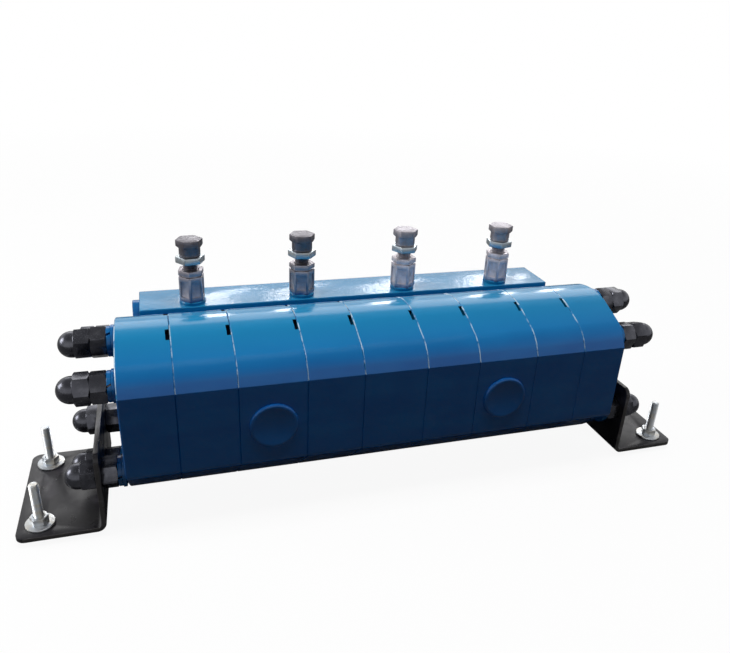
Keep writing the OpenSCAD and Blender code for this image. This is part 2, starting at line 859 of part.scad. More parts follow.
module foot_nuts()
    color(bright_zinc)
        on_foot_bolts(foot_top_z + foot_washer_t)
            hex_nut(foot_bolt_af, foot_nut_h, foot_bolt_d + 2 * bolt_gap);

// Manifold block behind the stack
manifold_h = manifold_above + manifold_below;
manifold_l = stack_l - manifold_left_inset - manifold_right_inset;
manifold_x = -stack_l / 2 + manifold_left_inset;
manifold_middle_x = manifold_x + manifold_l / 2;
return_y = manifold_y + return_setback;
return_z = manifold_top_z - return_drop;

module manifold_block()
    translate([manifold_x, manifold_y, body_z - manifold_below])
        rotate([90, 0, 90])
            linear_extrude(manifold_l)
                polygon([
                    [manifold_bevel, 0], [manifold_depth - manifold_bevel, 0],
                    [manifold_depth, manifold_bevel], [manifold_depth, manifold_h - manifold_bevel],
                    [manifold_depth - manifold_bevel, manifold_h], [manifold_bevel, manifold_h],
                    [0, manifold_h - manifold_bevel], [0, manifold_bevel]
                ]);

module on_valves()
    for (k = [1:sections])
        translate([section_x(k), valve_y, manifold_top_z])
            children();

module valve_cavity() {
    translate([0, 0, -cartridge_l])
        cylinder(d = cartridge_d + 2 * valve_gap, h = cartridge_l + valve_boss_h + over);
    translate([0, 0, -nose_end])
        cylinder(d = nose_d + 2 * valve_gap, h = nose_end);
    translate([0, 0, -manifold_above])
        cylinder(d = seat_bore_d, h = manifold_above);
}

module valve_manifold()
    color(painted)
        difference() {
            union() {
                manifold_block();
                on_valves() cylinder(d = valve_boss_d, h = valve_boss_h);
            }
            on_valves() valve_cavity();
            for (k = [1:sections]) {
                rearward(section_x(k), manifold_y - over, body_z)
                    cylinder(d = oil_way_d, h = manifold_depth + over);
                rearward(section_x(k), outlet_y - outlet_depth, body_z)
                    cylinder(d = outlet_d, h = outlet_depth + over);
                rearward(section_x(k), manifold_y - over, body_z)
                    ring(gallery_seal_d + seal_d + 2 * seal_gap, gallery_seal_d - seal_d - 2 * seal_gap,
                        seal_depth + seal_gap + over);
            }
            translate([manifold_x - over, return_y, return_z])
                rotate([0, 90, 0])
                    cylinder(d = oil_way_d, h = manifold_l + 2 * over);
            on_manifold_screws() {
                translate([0, 0, -over])
                    cylinder(d = manifold_screw_d + 2 * bolt_gap, h = manifold_depth + 2 * over);
                translate([0, 0, manifold_depth - manifold_screw_d])
                    cylinder(d = screw_head_d + 2 * rod_gap, h = manifold_screw_d + over);
            }
        }

// Puts its children on the front plane of the manifold, with Z to the rear
module on_manifold_screws()
    for (i = manifold_screw_plates, z = [upper_screw_z, -lower_screw_z])
        rearward(plate_x(i) + mid_plate_t / 2, manifold_y, body_z + z)
            children();

module manifold_screws()
    color(black_oxide)
        on_manifold_screws()
            difference() {
                union() {
                    translate([0, 0, -manifold_screw_grip])
                        cylinder(d = manifold_screw_d, h = manifold_screw_grip + manifold_depth - manifold_screw_d);
                    translate([0, 0, manifold_depth - manifold_screw_d])
                        cylinder(d = screw_head_d, h = manifold_screw_d);
                }
                translate([0, 0, manifold_depth - manifold_screw_d * socket_share])
                    cylinder(d = manifold_screw_d * socket_af_share / cos(30), h = manifold_screw_d, $fn = 6);
            }

module gallery_plugs()
    color(painted)
        for (side = [-1, 1])
            translate([manifold_middle_x + side * manifold_l / 2, return_y, return_z])
                rotate([0, side * 90, 0]) {
                    hexagon(gallery_plug_d * cos(30), gallery_plug_h, lower = false);
                    translate([0, 0, -gallery_plug_d / 2])
                        cylinder(d = oil_way_d - 2 * bolt_gap, h = gallery_plug_d / 2);
                }

module port_seals()
    color(seal_black)
        for (k = [1:sections])
            rearward(section_x(k), manifold_y, body_z)
                ring(gallery_seal_d + seal_d, gallery_seal_d - seal_d, seal_depth);

// Caps that close the two inlet ports until the pipes are fitted, drawn with Z to the front
module inlet_cap(k)
    color(cap_blue)
        translate([inlet_x(k), body_y - half_depth, body_z])
            rotate([90, 0, 0]) {
                cylinder(d = cap_d, h = cap_h - cap_bevel);
                translate([0, 0, cap_h - cap_bevel])
                    cylinder(d1 = cap_d, d2 = cap_d - 2 * cap_bevel, h = cap_bevel);
                translate([0, 0, -cap_plug_l])
                    ring(inlet_d - 2 * cap_gap, inlet_d - 2 * cap_gap - 2 * cap_plug_wall, cap_plug_l);
            }

// Adjustable relief valves, one above each gear section
module on_valve(k)
    translate([section_x(k), valve_y, manifold_top_z])
        children();

module valve_windows()
    for (a = [0:60:300])
        rotate(a + 30)
            translate([valve_af / 2 - window_depth, -window_w / 2, valve_boss_h + (valve_hex_h - window_h) / 2])
                cube([window_depth + over, window_w, window_h]);

module valve_body(k)
    color(valve_steel)
        on_valve(k)
            rotate(body_turns[k - 1])
                difference() {
                    union() {
                        translate([0, 0, valve_boss_h])
                            hexagon(valve_af, valve_hex_h, lower = false);
                        cylinder(d = valve_af - 2 * valve_groove_depth, h = collar_z + valve_collar_h / 2);
                        translate([0, 0, collar_z])
                            hexagon(valve_af, valve_collar_h);
                        translate([0, 0, -cartridge_l])
                            cylinder(d = cartridge_d, h = cartridge_l + valve_boss_h);
                        translate([0, 0, -nose_end])
                            cylinder(d = nose_d, h = nose_end);
                    }
                    translate([0, 0, -seat_depth])
                        cylinder(d = bore_d, h = seat_depth + collar_top + over);
                    translate([0, 0, -nose_end - over])
                        cylinder(d = seat_bore_d, h = nose_end);
                    for (a = [0, 90])
                        rotate(a)
                            translate([0, nose_d / 2 + over, poppet_face_h / 2 - seat_depth])
                                rotate([90, 0, 0])
                                    cylinder(d = nose_hole_d, h = nose_d + 2 * over);
                    valve_windows();
                }

module adjuster(k)
    color(valve_steel)
        on_valve(k) {
            translate([0, 0, head_z])
                rotate(head_turns[k - 1])
                    hexagon(valve_af, adjuster_head_h);
            translate([0, 0, neck_z])
                bevelled_rod(adjuster_neck_d, adjuster_neck_h + adjuster_head_h / 2, shaft_bevel);
            translate([0, 0, adjuster_tip_z])
                cylinder(d = adjuster_d, h = head_z - adjuster_tip_z);
        }

module lock_nut(k)
    color(bright_zinc)
        on_valve(k)
            translate([0, 0, lock_nut_z])
                rotate(lock_nut_turns[k - 1])
                    hex_nut(lock_nut_af, lock_nut_h, bore_d);

module spring_seat(k)
    color(gear_steel)
        on_valve(k)
            translate([0, 0, spring_top]) {
                cylinder(d = slider_d, h = spring_seat_t);
                translate([0, 0, -spring_seat_pin_l])
                    cylinder(d = spring_pin_d, h = spring_seat_pin_l);
            }

module poppet(k)
    color(gear_steel)
        on_valve(k)
            translate([0, 0, -seat_depth]) {
                translate([0, 0, -seat_t / 2])
                    cylinder(d1 = seat_bore_d / 2, d2 = seat_bore_d - 2 * valve_gap, h = seat_t / 2);
                cylinder(d = poppet_face_d, h = poppet_face_h);
                translate([0, 0, poppet_face_h]) {
                    cylinder(d = slider_d, h = poppet_rim_h);
                    cylinder(d = spring_pin_d, h = poppet_rim_h + poppet_pin_l);
                }
            }

// A coil swept with a six-sided wire section
spring_sides = 6;
spring_ring_count = 14;
module coil(d, wire, h, turns) {
    steps = turns * spring_ring_count;
    points = [
        for (s = [0:steps], j = [0:spring_sides - 1])
            let (a = 360 * s / spring_ring_count, b = 360 * j / spring_sides)
                [(d / 2 + wire / 2 * cos(b)) * cos(a), (d / 2 + wire / 2 * cos(b)) * sin(a),
                    wire / 2 + (h - wire) * s / steps + wire / 2 * sin(b)]
    ];
    faces = concat(
        [[for (j = [0:spring_sides - 1]) j]],
        [
            for (s = [0:steps - 1], j = [0:spring_sides - 1])
                let (a = s * spring_sides + j, b = s * spring_sides + (j + 1) % spring_sides)
                    [a, a + spring_sides, b + spring_sides, b]
        ],
        [[for (j = [spring_sides - 1:-1:0]) steps * spring_sides + j]]
    );
    polyhedron(points, faces, convexity = 8);
}

module valve_spring(k)
    color(spring_steel)
        on_valve(k)
            translate([0, 0, poppet_top])
                coil(spring_mean_d, spring_wire_d, spring_top - poppet_top, spring_turns);

end_cover(0);  // left_end_cover
end_cover(2 * sections);  // right_end_cover
gear_section(1);  // gear_section_1
gear_section(2);  // gear_section_2
gear_section(3);  // gear_section_3
gear_section(4);  // gear_section_4
mid_plate(1);  // mid_plate_1
mid_plate(2);  // mid_plate_2
mid_plate(3);  // mid_plate_3
bearing_blocks();
section_seals();
shaft_couplings();
drive_gear(1);  // drive_gear_1
drive_gear(2);  // drive_gear_2
drive_gear(3);  // drive_gear_3
drive_gear(4);  // drive_gear_4
idler_gear(1);  // idler_gear_1
idler_gear(2);  // idler_gear_2
idler_gear(3);  // idler_gear_3
idler_gear(4);  // idler_gear_4
tie_rods();
tie_rod_washers();
tie_rod_spring_washers();
tie_rod_hex_nuts();
tie_rod_dome_nuts();
left_bracket();
right_bracket();
foot_bolts();
foot_washers();
foot_nuts();
valve_manifold();
manifold_screws();
gallery_plugs();
port_seals();
inlet_cap(1);  // inlet_cap_1
inlet_cap(2);  // inlet_cap_2
valve_body(1);  // valve_body_1
valve_body(2);  // valve_body_2
valve_body(3);  // valve_body_3
valve_body(4);  // valve_body_4
adjuster(1);  // adjuster_1
adjuster(2);  // adjuster_2
adjuster(3);  // adjuster_3
adjuster(4);  // adjuster_4
lock_nut(1);  // lock_nut_1
lock_nut(2);  // lock_nut_2
lock_nut(3);  // lock_nut_3
lock_nut(4);  // lock_nut_4
spring_seat(1);  // spring_seat_1
spring_seat(2);  // spring_seat_2
spring_seat(3);  // spring_seat_3
spring_seat(4);  // spring_seat_4
poppet(1);  // poppet_1
poppet(2);  // poppet_2
poppet(3);  // poppet_3
poppet(4);  // poppet_4
valve_spring(1);  // valve_spring_1
valve_spring(2);  // valve_spring_2
valve_spring(3);  // valve_spring_3
valve_spring(4);  // valve_spring_4
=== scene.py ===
"""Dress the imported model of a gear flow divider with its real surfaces.

The CAD frame carries sizes and joints. This script adds what the eye sees: rounded plate edges,
threads, chamfered nuts and the finish of every surface, and it lights the whole like a product photo.
"""

import logging
import math
from dataclasses import dataclass
from enum import Enum
from typing import Callable, Sequence

import bpy
from mathutils import Matrix, Vector


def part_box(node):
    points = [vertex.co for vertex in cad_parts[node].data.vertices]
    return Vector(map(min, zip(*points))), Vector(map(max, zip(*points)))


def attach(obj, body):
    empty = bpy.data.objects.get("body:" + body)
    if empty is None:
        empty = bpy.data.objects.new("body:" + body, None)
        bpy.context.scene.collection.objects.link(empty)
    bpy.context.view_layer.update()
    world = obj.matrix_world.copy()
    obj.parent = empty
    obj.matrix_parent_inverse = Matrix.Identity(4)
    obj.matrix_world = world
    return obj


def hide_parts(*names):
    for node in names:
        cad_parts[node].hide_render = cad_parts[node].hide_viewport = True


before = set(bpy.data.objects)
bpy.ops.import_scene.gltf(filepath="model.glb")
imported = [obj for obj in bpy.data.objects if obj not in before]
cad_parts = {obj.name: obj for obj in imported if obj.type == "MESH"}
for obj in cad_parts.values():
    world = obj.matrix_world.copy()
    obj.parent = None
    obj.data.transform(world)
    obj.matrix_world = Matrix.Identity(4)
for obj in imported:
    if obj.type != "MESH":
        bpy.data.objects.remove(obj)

Piece = bpy.types.Object
Material = bpy.types.Material
Socket = bpy.types.NodeSocket
Tree = bpy.types.NodeTree
Point = tuple[float, float]

LOG = logging.getLogger("flow_divider")
MM = 0.001
SMOOTH_ANGLE = math.radians(32)
OVER = 1.0 * MM  # how far a cutting tool stands out of what it cuts
NEAR = 0.1 * MM  # how close a point has to be to a place to count as there
WELD = 0.002 * MM  # points closer than this are one point
UP, FORWARD, BACK = Vector((0, 0, 1)), Vector((0, -1, 0)), Vector((0, 1, 0))


# ---------------------------------------------------------------- colours and nodes


def linear(colour: str) -> tuple[float, float, float, float]:
    """Turn an sRGB hex colour into linear light.

    Args:
        colour: Six hex digits, with or without a leading hash.

    Returns:
        Red, green, blue and an alpha of one.
    """
    digits = colour.lstrip("#")
    parts = [int(digits[i : i + 2], 16) / 255 for i in (0, 2, 4)]
    red, green, blue = [p / 12.92 if p <= 0.04045 else ((p + 0.055) / 1.055) ** 2.4 for p in parts]
    return red, green, blue, 1.0


def add_node(tree: Tree, kind: str, inputs: dict | Sequence = (), **settings: object) -> bpy.types.Node:
    """Add one node with its settings, values and links.

    Args:
        tree: The node tree that it joins.
        kind: Blender's name for the node, without the leading "ShaderNode".
        inputs: A value, or the socket that feeds it, for each socket by name, number or order.
        settings: The node's own properties.

    Returns:
        The new node.
    """
    node = tree.nodes.new("ShaderNode" + kind)
    for name, value in settings.items():
        setattr(node, name, value)
    for key, value in inputs.items() if isinstance(inputs, dict) else enumerate(inputs):
        if isinstance(value, Socket):
            tree.links.new(value, node.inputs[key])
        else:
            node.inputs[key].default_value = value
    return node


class Coat:
    """A material in the making: one shader, and the patterns that feed it."""

    def __init__(self, name: str, inputs: dict) -> None:
        """Start a material whose shader has the plain values given."""
        self.material = bpy.data.materials.new(name)
        self.material.use_nodes = True
        self.tree = self.material.node_tree
        self.tree.nodes.clear()
        self.shader = add_node(self.tree, "BsdfPrincipled", inputs)
        add_node(self.tree, "OutputMaterial", {"Surface": self.shader.outputs["BSDF"]})

    def cloud(self, sizes_mm: Sequence[float], detail: float, band: Point | None = None,
              ends: Point = (0.0, 1.0)) -> Socket:
        """Lay a cloudy pattern over the piece and stretch one band of its values.

        Args:
            sizes_mm: Width of one cloud along X, Y and Z.
            detail: How many finer layers lie on it.
            band: The values that are stretched, or None where the pattern stays plain.
            ends: What the band's two ends become.

        Returns:
            The pattern's value.
        """
        place = add_node(self.tree, "TexCoord").outputs["Object"]
        scale = tuple(1.0 / (size * MM) for size in sizes_mm)
        place = add_node(self.tree, "Mapping", {"Vector": place, "Scale": scale}).outputs["Vector"]
        inputs = {"Vector": place, "Scale": 1.0, "Detail": detail}
        value = add_node(self.tree, "TexNoise", inputs).outputs["Fac"]
        return value if band is None else self.stretch(value, band, ends)

    def stretch(self, value: Socket, band: Point, ends: Point = (0.0, 1.0)) -> Socket:
        """Stretch the band of a value over two ends, and clamp it there."""
        return add_node(self.tree, "MapRange", (value, *band, *ends), clamp=True).outputs["Result"]

    def height(self) -> Socket:
        """Give the height over the floor."""
        place = add_node(self.tree, "TexCoord").outputs["Object"]
        return add_node(self.tree, "SeparateXYZ", (place,)).outputs["Z"]

    def tint(self, share: Socket, first: str | Socket, second: str) -> Socket:
        """Colour the piece between two colours by a share, and give the mixed colour."""
        colours = [linear(one) if isinstance(one, str) else one for one in (first, second)]
        node = add_node(self.tree, "Mix", {0: share, 6: colours[0], 7: colours[1]}, data_type="RGBA")
        self.feed("Base Color", node.outputs[2])
        return node.outputs[2]

    def relief(self, height: Socket, depth_mm: float) -> None:
        """Raise a pattern over the surface, on top of what is already raised."""
        normal = self.shader.inputs["Normal"]
        inputs = {"Strength": 1.0, "Distance": depth_mm * MM, "Height": height}
        if normal.is_linked:
            inputs["Normal"] = normal.links[0].from_socket
        self.feed("Normal", add_node(self.tree, "Bump", inputs).outputs["Normal"])

    def feed(self, socket: str, source: Socket) -> None:
        """Link a pattern to one socket of the shader."""
        self.tree.links.new(source, self.shader.inputs[socket])


# ---------------------------------------------------------------- finishes

MIDDLE: Point = (0.3, 0.7)  # the band of a cloud in which most of its values lie


@dataclass(frozen=True)
class Enamel:
    """Sprayed two-pack enamel: a hard glossy film with orange peel from the gun and faint runs."""

    name: str
    colour: str = "#0c67b3"
    deep: str = "#0a5ba8"
    peel_mm: float = 3.2
    peel_depth_mm: float = 0.016
    grit_depth_mm: float = 0.0
    # painted sheen: a paler, greener colour laid over the top of the piece, and the heights between which it comes
    # in
    sheen_tint: str = ""
    sheen_from_mm: float = 0.0
    sheen_to_mm: float = 0.0
    roughness: float = 0.12

    def material(self) -> Material:
        """Build the finish."""
        coat = Coat(self.name, {"IOR": 1.5, "Specular IOR Level": 0.26})
        # the gun's passes run along the stack and leave the film a little deeper in long bands
        parts = (coat.cloud((140, 22, 22), 3), coat.cloud((45, 30, 30), 2), 0.25)
        passes = add_node(coat.tree, "Math", parts, operation="MULTIPLY_ADD").outputs[0]
        colour = coat.tint(coat.stretch(passes, (0.35, 0.62)), self.deep, self.colour)
        if self.sheen_tint:
            # painted sheen: between two heights the colour turns paler and greener towards the top, standing in
            # for the pale reflection over a crown or a top face
            rise = coat.stretch(coat.height(), (self.sheen_from_mm * MM, self.sheen_to_mm * MM))
            coat.tint(rise, colour, self.sheen_tint)
        ends = (self.roughness * 0.8, self.roughness * 1.35)
        coat.feed("Roughness", coat.cloud((30, 9, 9), 3, MIDDLE, ends))
        coat.relief(coat.cloud((self.peel_mm,) * 3, 1), self.peel_depth_mm)
        if self.grit_depth_mm:
            # dry overspray that fell on the wet film, which sparkles under a lamp
            coat.relief(coat.cloud((0.9, 0.9, 0.9), 2, (0.55, 0.75)), self.grit_depth_mm)
        return coat.material


@dataclass(frozen=True)
class SeamHighlightRim:
    """Sharp plate rims painted paler than the enamel, in patches: a painted highlight that stands in for light
    caught along the seams.
    """

    name: str = "rim_painted_highlight"
    colour: str = "#aecde2"
    film: str = "#1f7ab4"

    def material(self) -> Material:
        """Build the finish."""
        coat = Coat(self.name, {"IOR": 1.5, "Specular IOR Level": 0.5, "Roughness": 0.2})
        # the pale colour in patches is the painted highlight along the rim
        coat.tint(coat.cloud((40, 9, 9), 3, (0.42, 0.56)), self.film, self.colour)
        return coat.material


@dataclass(frozen=True)
class BlackOxide:
    """Hot black oxide on steel: a thin dark conversion layer, satin, over the metal's own grain."""

    name: str
    colour: str = "#4b4c53"
    worn: str = "#5d5e65"
    roughness: float = 0.22

    def material(self) -> Material:
        """Build the finish."""
        coat = Coat(self.name, {"Metallic": 0.85, "Specular IOR Level": 0.5})
        coat.tint(coat.cloud((7, 7, 7), 4, (0.48, 0.72)), self.colour, self.worn)
        coat.feed("Roughness", coat.cloud((3, 3, 3), 3, MIDDLE, (self.roughness * 0.8, self.roughness * 1.3)))
        coat.relief(coat.cloud((1.2, 1.2, 1.2), 2), 0.004)
        return coat.material


@dataclass(frozen=True)
class BlackPaint:
    """Air-dried black over laser-cut plate: semi-gloss, thin at the edges, a few rubbed places."""

    name: str
    colour: str = "#1e1d21"
    wear_and_highlight: str = "#3f3d43"

    def material(self) -> Material:
        """Build the finish."""
        coat = Coat(self.name, {"IOR": 1.5, "Specular IOR Level": 0.36})
        coat.tint(coat.cloud((26, 26, 14), 5, (0.55, 0.78)), self.colour, self.wear_and_highlight)
        coat.feed("Roughness", coat.cloud((12, 12, 12), 4, MIDDLE, (0.24, 0.46)))
        coat.relief(coat.cloud((1.6, 1.6, 1.6), 2), 0.012)
        return coat.material


@dataclass(frozen=True)
class Zinc:
    """Bright electroplated zinc: silvery, with the faint blue and yellow of its passivation."""

    name: str
    colour: str = "#cdd2d8"
    warm: str = "#cfcbc2"
    roughness: float = 0.38

    def material(self) -> Material:
        """Build the finish."""
        coat = Coat(self.name, {"Metallic": 1.0})
        coat.tint(coat.cloud((9, 9, 5), 3, (0.42, 0.68)), self.colour, self.warm)
        coat.feed("Roughness", coat.cloud((2, 2, 2), 3, MIDDLE, (self.roughness * 0.75, self.roughness * 1.4)))
        coat.relief(coat.cloud((0.7, 0.7, 0.7), 2), 0.006)
        return coat.material


@dataclass(frozen=True)
class MachinedSteel:
    """Bare turned or milled steel: grey metal with fine tool marks round the piece."""

    name: str
    colour: str
    dark: str
    roughness: float
    mark_mm: float = 0.45
    sprayed_to_mm: float = 0.0
    sprayed: str = "#17558f"

    def material(self) -> Material:
        """Build the finish."""
        coat = Coat(self.name, {"Specular IOR Level": 0.5, "Metallic": 1.0})
        colour = coat.tint(coat.cloud((6, 6, 9), 4, (0.4, 0.7)), self.colour, self.dark)
        if self.sprayed_to_mm:
            # the manifold was sprayed with its valves in place, so mist reached their lower ends
            ragged = coat.cloud((5, 5, 3), 3, (0.2, 0.8), (-2.5 * MM, 2.5 * MM))
            level = add_node(coat.tree, "Math", (coat.height(), ragged), operation="ADD").outputs[0]
            top = self.sprayed_to_mm * MM
            mist = coat.stretch(level, (top - 2 * MM, top + 2.5 * MM), (1.0, 0.0))
            coat.tint(mist, colour, self.sprayed)
            coat.feed("Metallic", coat.stretch(mist, (0.0, 1.0), (1.0, 0.0)))
        ends = (self.roughness * 0.8, self.roughness * 1.25)
        coat.feed("Roughness", coat.cloud((2.5, 2.5, 2.5), 3, MIDDLE, ends))
        # tool marks, drawn a little coarser than real feed marks so that they show
        coat.relief(coat.cloud((30, 30, self.mark_mm), 1), 0.012)
        return coat.material


@dataclass(frozen=True)
class BearingBronze:
    """Machined bearing bronze: warm yellow metal, fine turning marks."""

    name: str = "bearing_bronze_turned"

    def material(self) -> Material:
        """Build the finish."""
        coat = Coat(self.name, {"Metallic": 1.0, "Roughness": 0.35})
        coat.tint(coat.cloud((12, 12, 12), 3), "#b98f52", "#9a7741")
        coat.relief(coat.cloud((0.5, 14, 14), 1), 0.01)
        return coat.material


@dataclass(frozen=True)
class NitrileRubber:
    """Moulded nitrile rubber: black, matt, with a slight bloom."""

    name: str = "nitrile_rubber_moulded"

    def material(self) -> Material:
        """Build the finish."""
        coat = Coat(self.name, {"Roughness": 0.7, "IOR": 1.52})
        coat.tint(coat.cloud((6, 6, 6), 3, (0.45, 0.75)), "#151515", "#232323")
        coat.relief(coat.cloud((0.6, 0.6, 0.6), 2), 0.01)
        return coat.material


# ---------------------------------------------------------------- modelling by hand


class Part(Enum):
    """What is picked on a mesh."""

    EDGES = "edges"
    FACES = "faces"


def focus(piece: Piece, *others: Piece) -> None:
    """Select a piece and make it active, with others selected beside it."""
    if bpy.context.object and bpy.context.object.mode == "EDIT":
        bpy.ops.object.mode_set(mode="OBJECT")
    bpy.ops.object.select_all(action="DESELECT")
    for one in (piece, *others):
        one.select_set(True)
    bpy.context.view_layer.objects.active = piece


def open_mesh(piece: Piece, kind: Part = Part.FACES) -> None:
    """Enter edit mode on a piece with all of its mesh selected."""
    focus(piece)
    bpy.ops.object.mode_set(mode="EDIT")
    bpy.context.tool_settings.mesh_select_mode = (False, kind is Part.EDGES, kind is Part.FACES)
    bpy.ops.mesh.select_all(action="SELECT")


def close_mesh() -> None:
    """Leave edit mode."""
    bpy.ops.object.mode_set(mode="OBJECT")


def keep_place() -> None:
    """Write the active piece's place, turn and size into its mesh."""
    bpy.ops.object.transform_apply(location=True, rotation=True, scale=True)


def pick_edges(piece: Piece, test: Callable[[Vector, Vector], bool]) -> None:
    """Enter edit mode with only the edges selected whose two ends pass a test."""
    open_mesh(piece, Part.EDGES)
    bpy.ops.mesh.select_all(action="DESELECT")
    close_mesh()
    mesh = piece.data
    for edge in mesh.edges:
        edge.select = test(*(mesh.vertices[end].co for end in edge.vertices))
    bpy.ops.object.mode_set(mode="EDIT")


def settle(piece: Piece) -> Piece:
    """Merge doubled points, turn all faces outwards and put the object at the origin."""
    open_mesh(piece)
    bpy.ops.mesh.remove_doubles(threshold=WELD)
    bpy.ops.mesh.normals_make_consistent(inside=False)
    close_mesh()
    keep_place()
    return piece


def draw_line(name: str, points: Sequence[Point]) -> Piece:
    """Draw an open line in the XZ plane by extruding one point along it.

    Args:
        name: The object's name.
        points: Radius and height of each corner, in metres.

    Returns:
        An object of edges alone.
    """
    bpy.ops.object.select_all(action="DESELECT")
    bpy.ops.mesh.primitive_plane_add(size=MM)
    piece = bpy.context.object
    piece.name = name
    bpy.ops.object.mode_set(mode="EDIT")
    bpy.context.tool_settings.mesh_select_mode = (True, False, False)
    bpy.ops.mesh.select_all(action="SELECT")
    bpy.ops.mesh.merge(type="CENTER")
    bpy.ops.transform.translate(value=(points[0][0], 0, points[0][1]))
    for (r0, z0), (r1, z1) in zip(points, points[1:]):
        bpy.ops.mesh.extrude_vertices_move(TRANSFORM_OT_translate={"value": (r1 - r0, 0, z1 - z0)})
    close_mesh()
    return piece


def lathe(name: str, points: Sequence[Point], steps: int = 64) -> Piece:
    """Spin a line round Z into a closed turned piece.

    Args:
        name: The object's name.
        points: Radius and height of each corner, from end to end of the axis, or a closed ring.
        steps: Faces round the piece.

    Returns:
        The turned piece.
    """
    piece = draw_line(name, points)
    open_mesh(piece, Part.EDGES)
    bpy.ops.mesh.spin(steps=steps, angle=2 * math.pi, center=(0, 0, 0), axis=(0, 0, 1))
    close_mesh()
    return settle(piece)


def block(name: str, low: Sequence[float], high: Sequence[float]) -> Piece:
    """Add a box between two corners."""
    bpy.ops.object.select_all(action="DESELECT")
    middle = [(a + b) / 2 for a, b in zip(low, high)]
    size = [b - a for a, b in zip(low, high)]
    bpy.ops.mesh.primitive_cube_add(size=1, location=middle, scale=size)
    bpy.context.object.name = name
    keep_place()
    return bpy.context.object


def hex_bar(name: str, flats: float, low: float, high: float) -> Piece:
    """Add a hexagon bar along Z with a corner towards +X."""
    bpy.ops.object.select_all(action="DESELECT")
    bpy.ops.mesh.primitive_cylinder_add(
        vertices=6, radius=flats / math.sqrt(3), depth=high - low, location=(0, 0, (low + high) / 2),
        rotation=(0, 0, math.radians(30)))
    bpy.context.object.name = name
    keep_place()
    return bpy.context.object


def apply(piece: Piece, kind: str, **settings: object) -> Piece:
    """Add a modifier with its settings and apply it at once."""
    modifier = piece.modifiers.new(kind.title(), kind)
    for name, value in settings.items():
        setattr(modifier, name, value)
    focus(piece)
    bpy.ops.object.modifier_apply(modifier=modifier.name)
    return piece


def carve(piece: Piece, tool: Piece, operation: str = "DIFFERENCE") -> Piece:
    """Cut, keep or add a tool's shape, and throw the tool away."""
    apply(piece, "BOOLEAN", object=tool, operation=operation, solver="EXACT")
    bpy.data.objects.remove(tool)
    return piece


def soften(piece: Piece, width: float, segments: int = 2) -> Piece:
    """Break every sharp edge, as a deburring wheel or a coat of paint does."""
    return apply(piece, "BEVEL", width=width, segments=segments, limit_method="ANGLE",
                 angle_limit=math.radians(38), use_clamp_overlap=True)


def put(piece: Piece, where: Matrix) -> Piece:
    """Move a piece and write its place into its mesh."""
    piece.matrix_world = where
    focus(piece)
    keep_place()
    return piece


def axis_matrix(place: Vector, direction: Vector, turn: float = 0.0) -> Matrix:
    """Give the matrix that moves the origin to a place and turns +Z to a direction."""
    spin = direction.to_track_quat("Z", "Y").to_matrix().to_4x4()
    return Matrix.Translation(place) @ spin @ Matrix.Rotation(turn, 4, "Z")


def join(name: str, first: Piece, *others: Piece) -> Piece:
    """Join pieces into the first one, under a name."""
    focus(first, *others)
    if others:
        bpy.ops.object.join()
    first.name = name
    return first


def copies(piece: Piece, places: Sequence[Matrix], name: str) -> Piece:
    """Copy a piece to several places and join the copies into one object.

    Args:
        piece: The piece modelled round the origin. It is used up.
        places: Where each copy goes.
        name: The joined object's name.

    Returns:
        The joined object, at the origin.
    """
    made = []
    for place in places:
        one = piece.copy()
        one.data = piece.data.copy()
        bpy.context.scene.collection.objects.link(one)
        made.append(put(one, place))
    bpy.data.objects.remove(piece)
    return join(name, *made)


def from_node(node: str, name: str, width: float) -> Piece:
    """Copy a CAD node's mesh, close it and break its edges.

    Args:
        node: The CAD node.
        name: The new object's name.
        width: How far each edge is broken, in metres.

    Returns:
        The new piece.
    """
    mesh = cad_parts[node].data.copy()
    piece = bpy.data.objects.new(name, mesh)
    bpy.context.scene.collection.objects.link(piece)
    mesh.materials.clear()
    open_mesh(piece)
    bpy.ops.mesh.customdata_custom_splitnormals_clear()
    bpy.ops.mesh.remove_doubles(threshold=WELD)
    bpy.ops.mesh.dissolve_limited(angle_limit=math.radians(0.5))
    close_mesh()
    return soften(piece, width)


def threaded_rod(name: str, major: float, pitch: float, low: float, high: float) -> Piece:
    """Wind a screw thread along Z with the Screw modifier and close both ends flat.

    Args:
        name: The object's name.
        major: Radius over the crests.
        pitch: Distance between crests.
        low: Height of the lower end.
        high: Height of the upper end.

    Returns:
        The threaded piece.
    """
    minor = major - 0.61 * pitch
    points = []
    for i in range(math.ceil((high - low) / pitch) + 3):
        z = low + (i - 1.5) * pitch
        points += [(minor, z), (major, z + 0.42 * pitch), (major, z + 0.58 * pitch)]
    piece = draw_line(name, points)
    apply(piece, "SCREW", axis="Z", angle=2 * math.pi, screw_offset=pitch, steps=28, render_steps=28,
          iterations=1, use_merge_vertices=False)
    open_mesh(piece)
    bpy.ops.mesh.remove_doubles(threshold=0.005 * MM)
    for z, up in ((high, 1), (low, -1)):
        bpy.ops.mesh.select_all(action="SELECT")
        bpy.ops.mesh.bisect(plane_co=(0, 0, z), plane_no=(0, 0, up), use_fill=True, clear_outer=True)
    bpy.ops.mesh.select_all(action="SELECT")
    bpy.ops.mesh.normals_make_consistent(inside=False)
    close_mesh()
    return piece


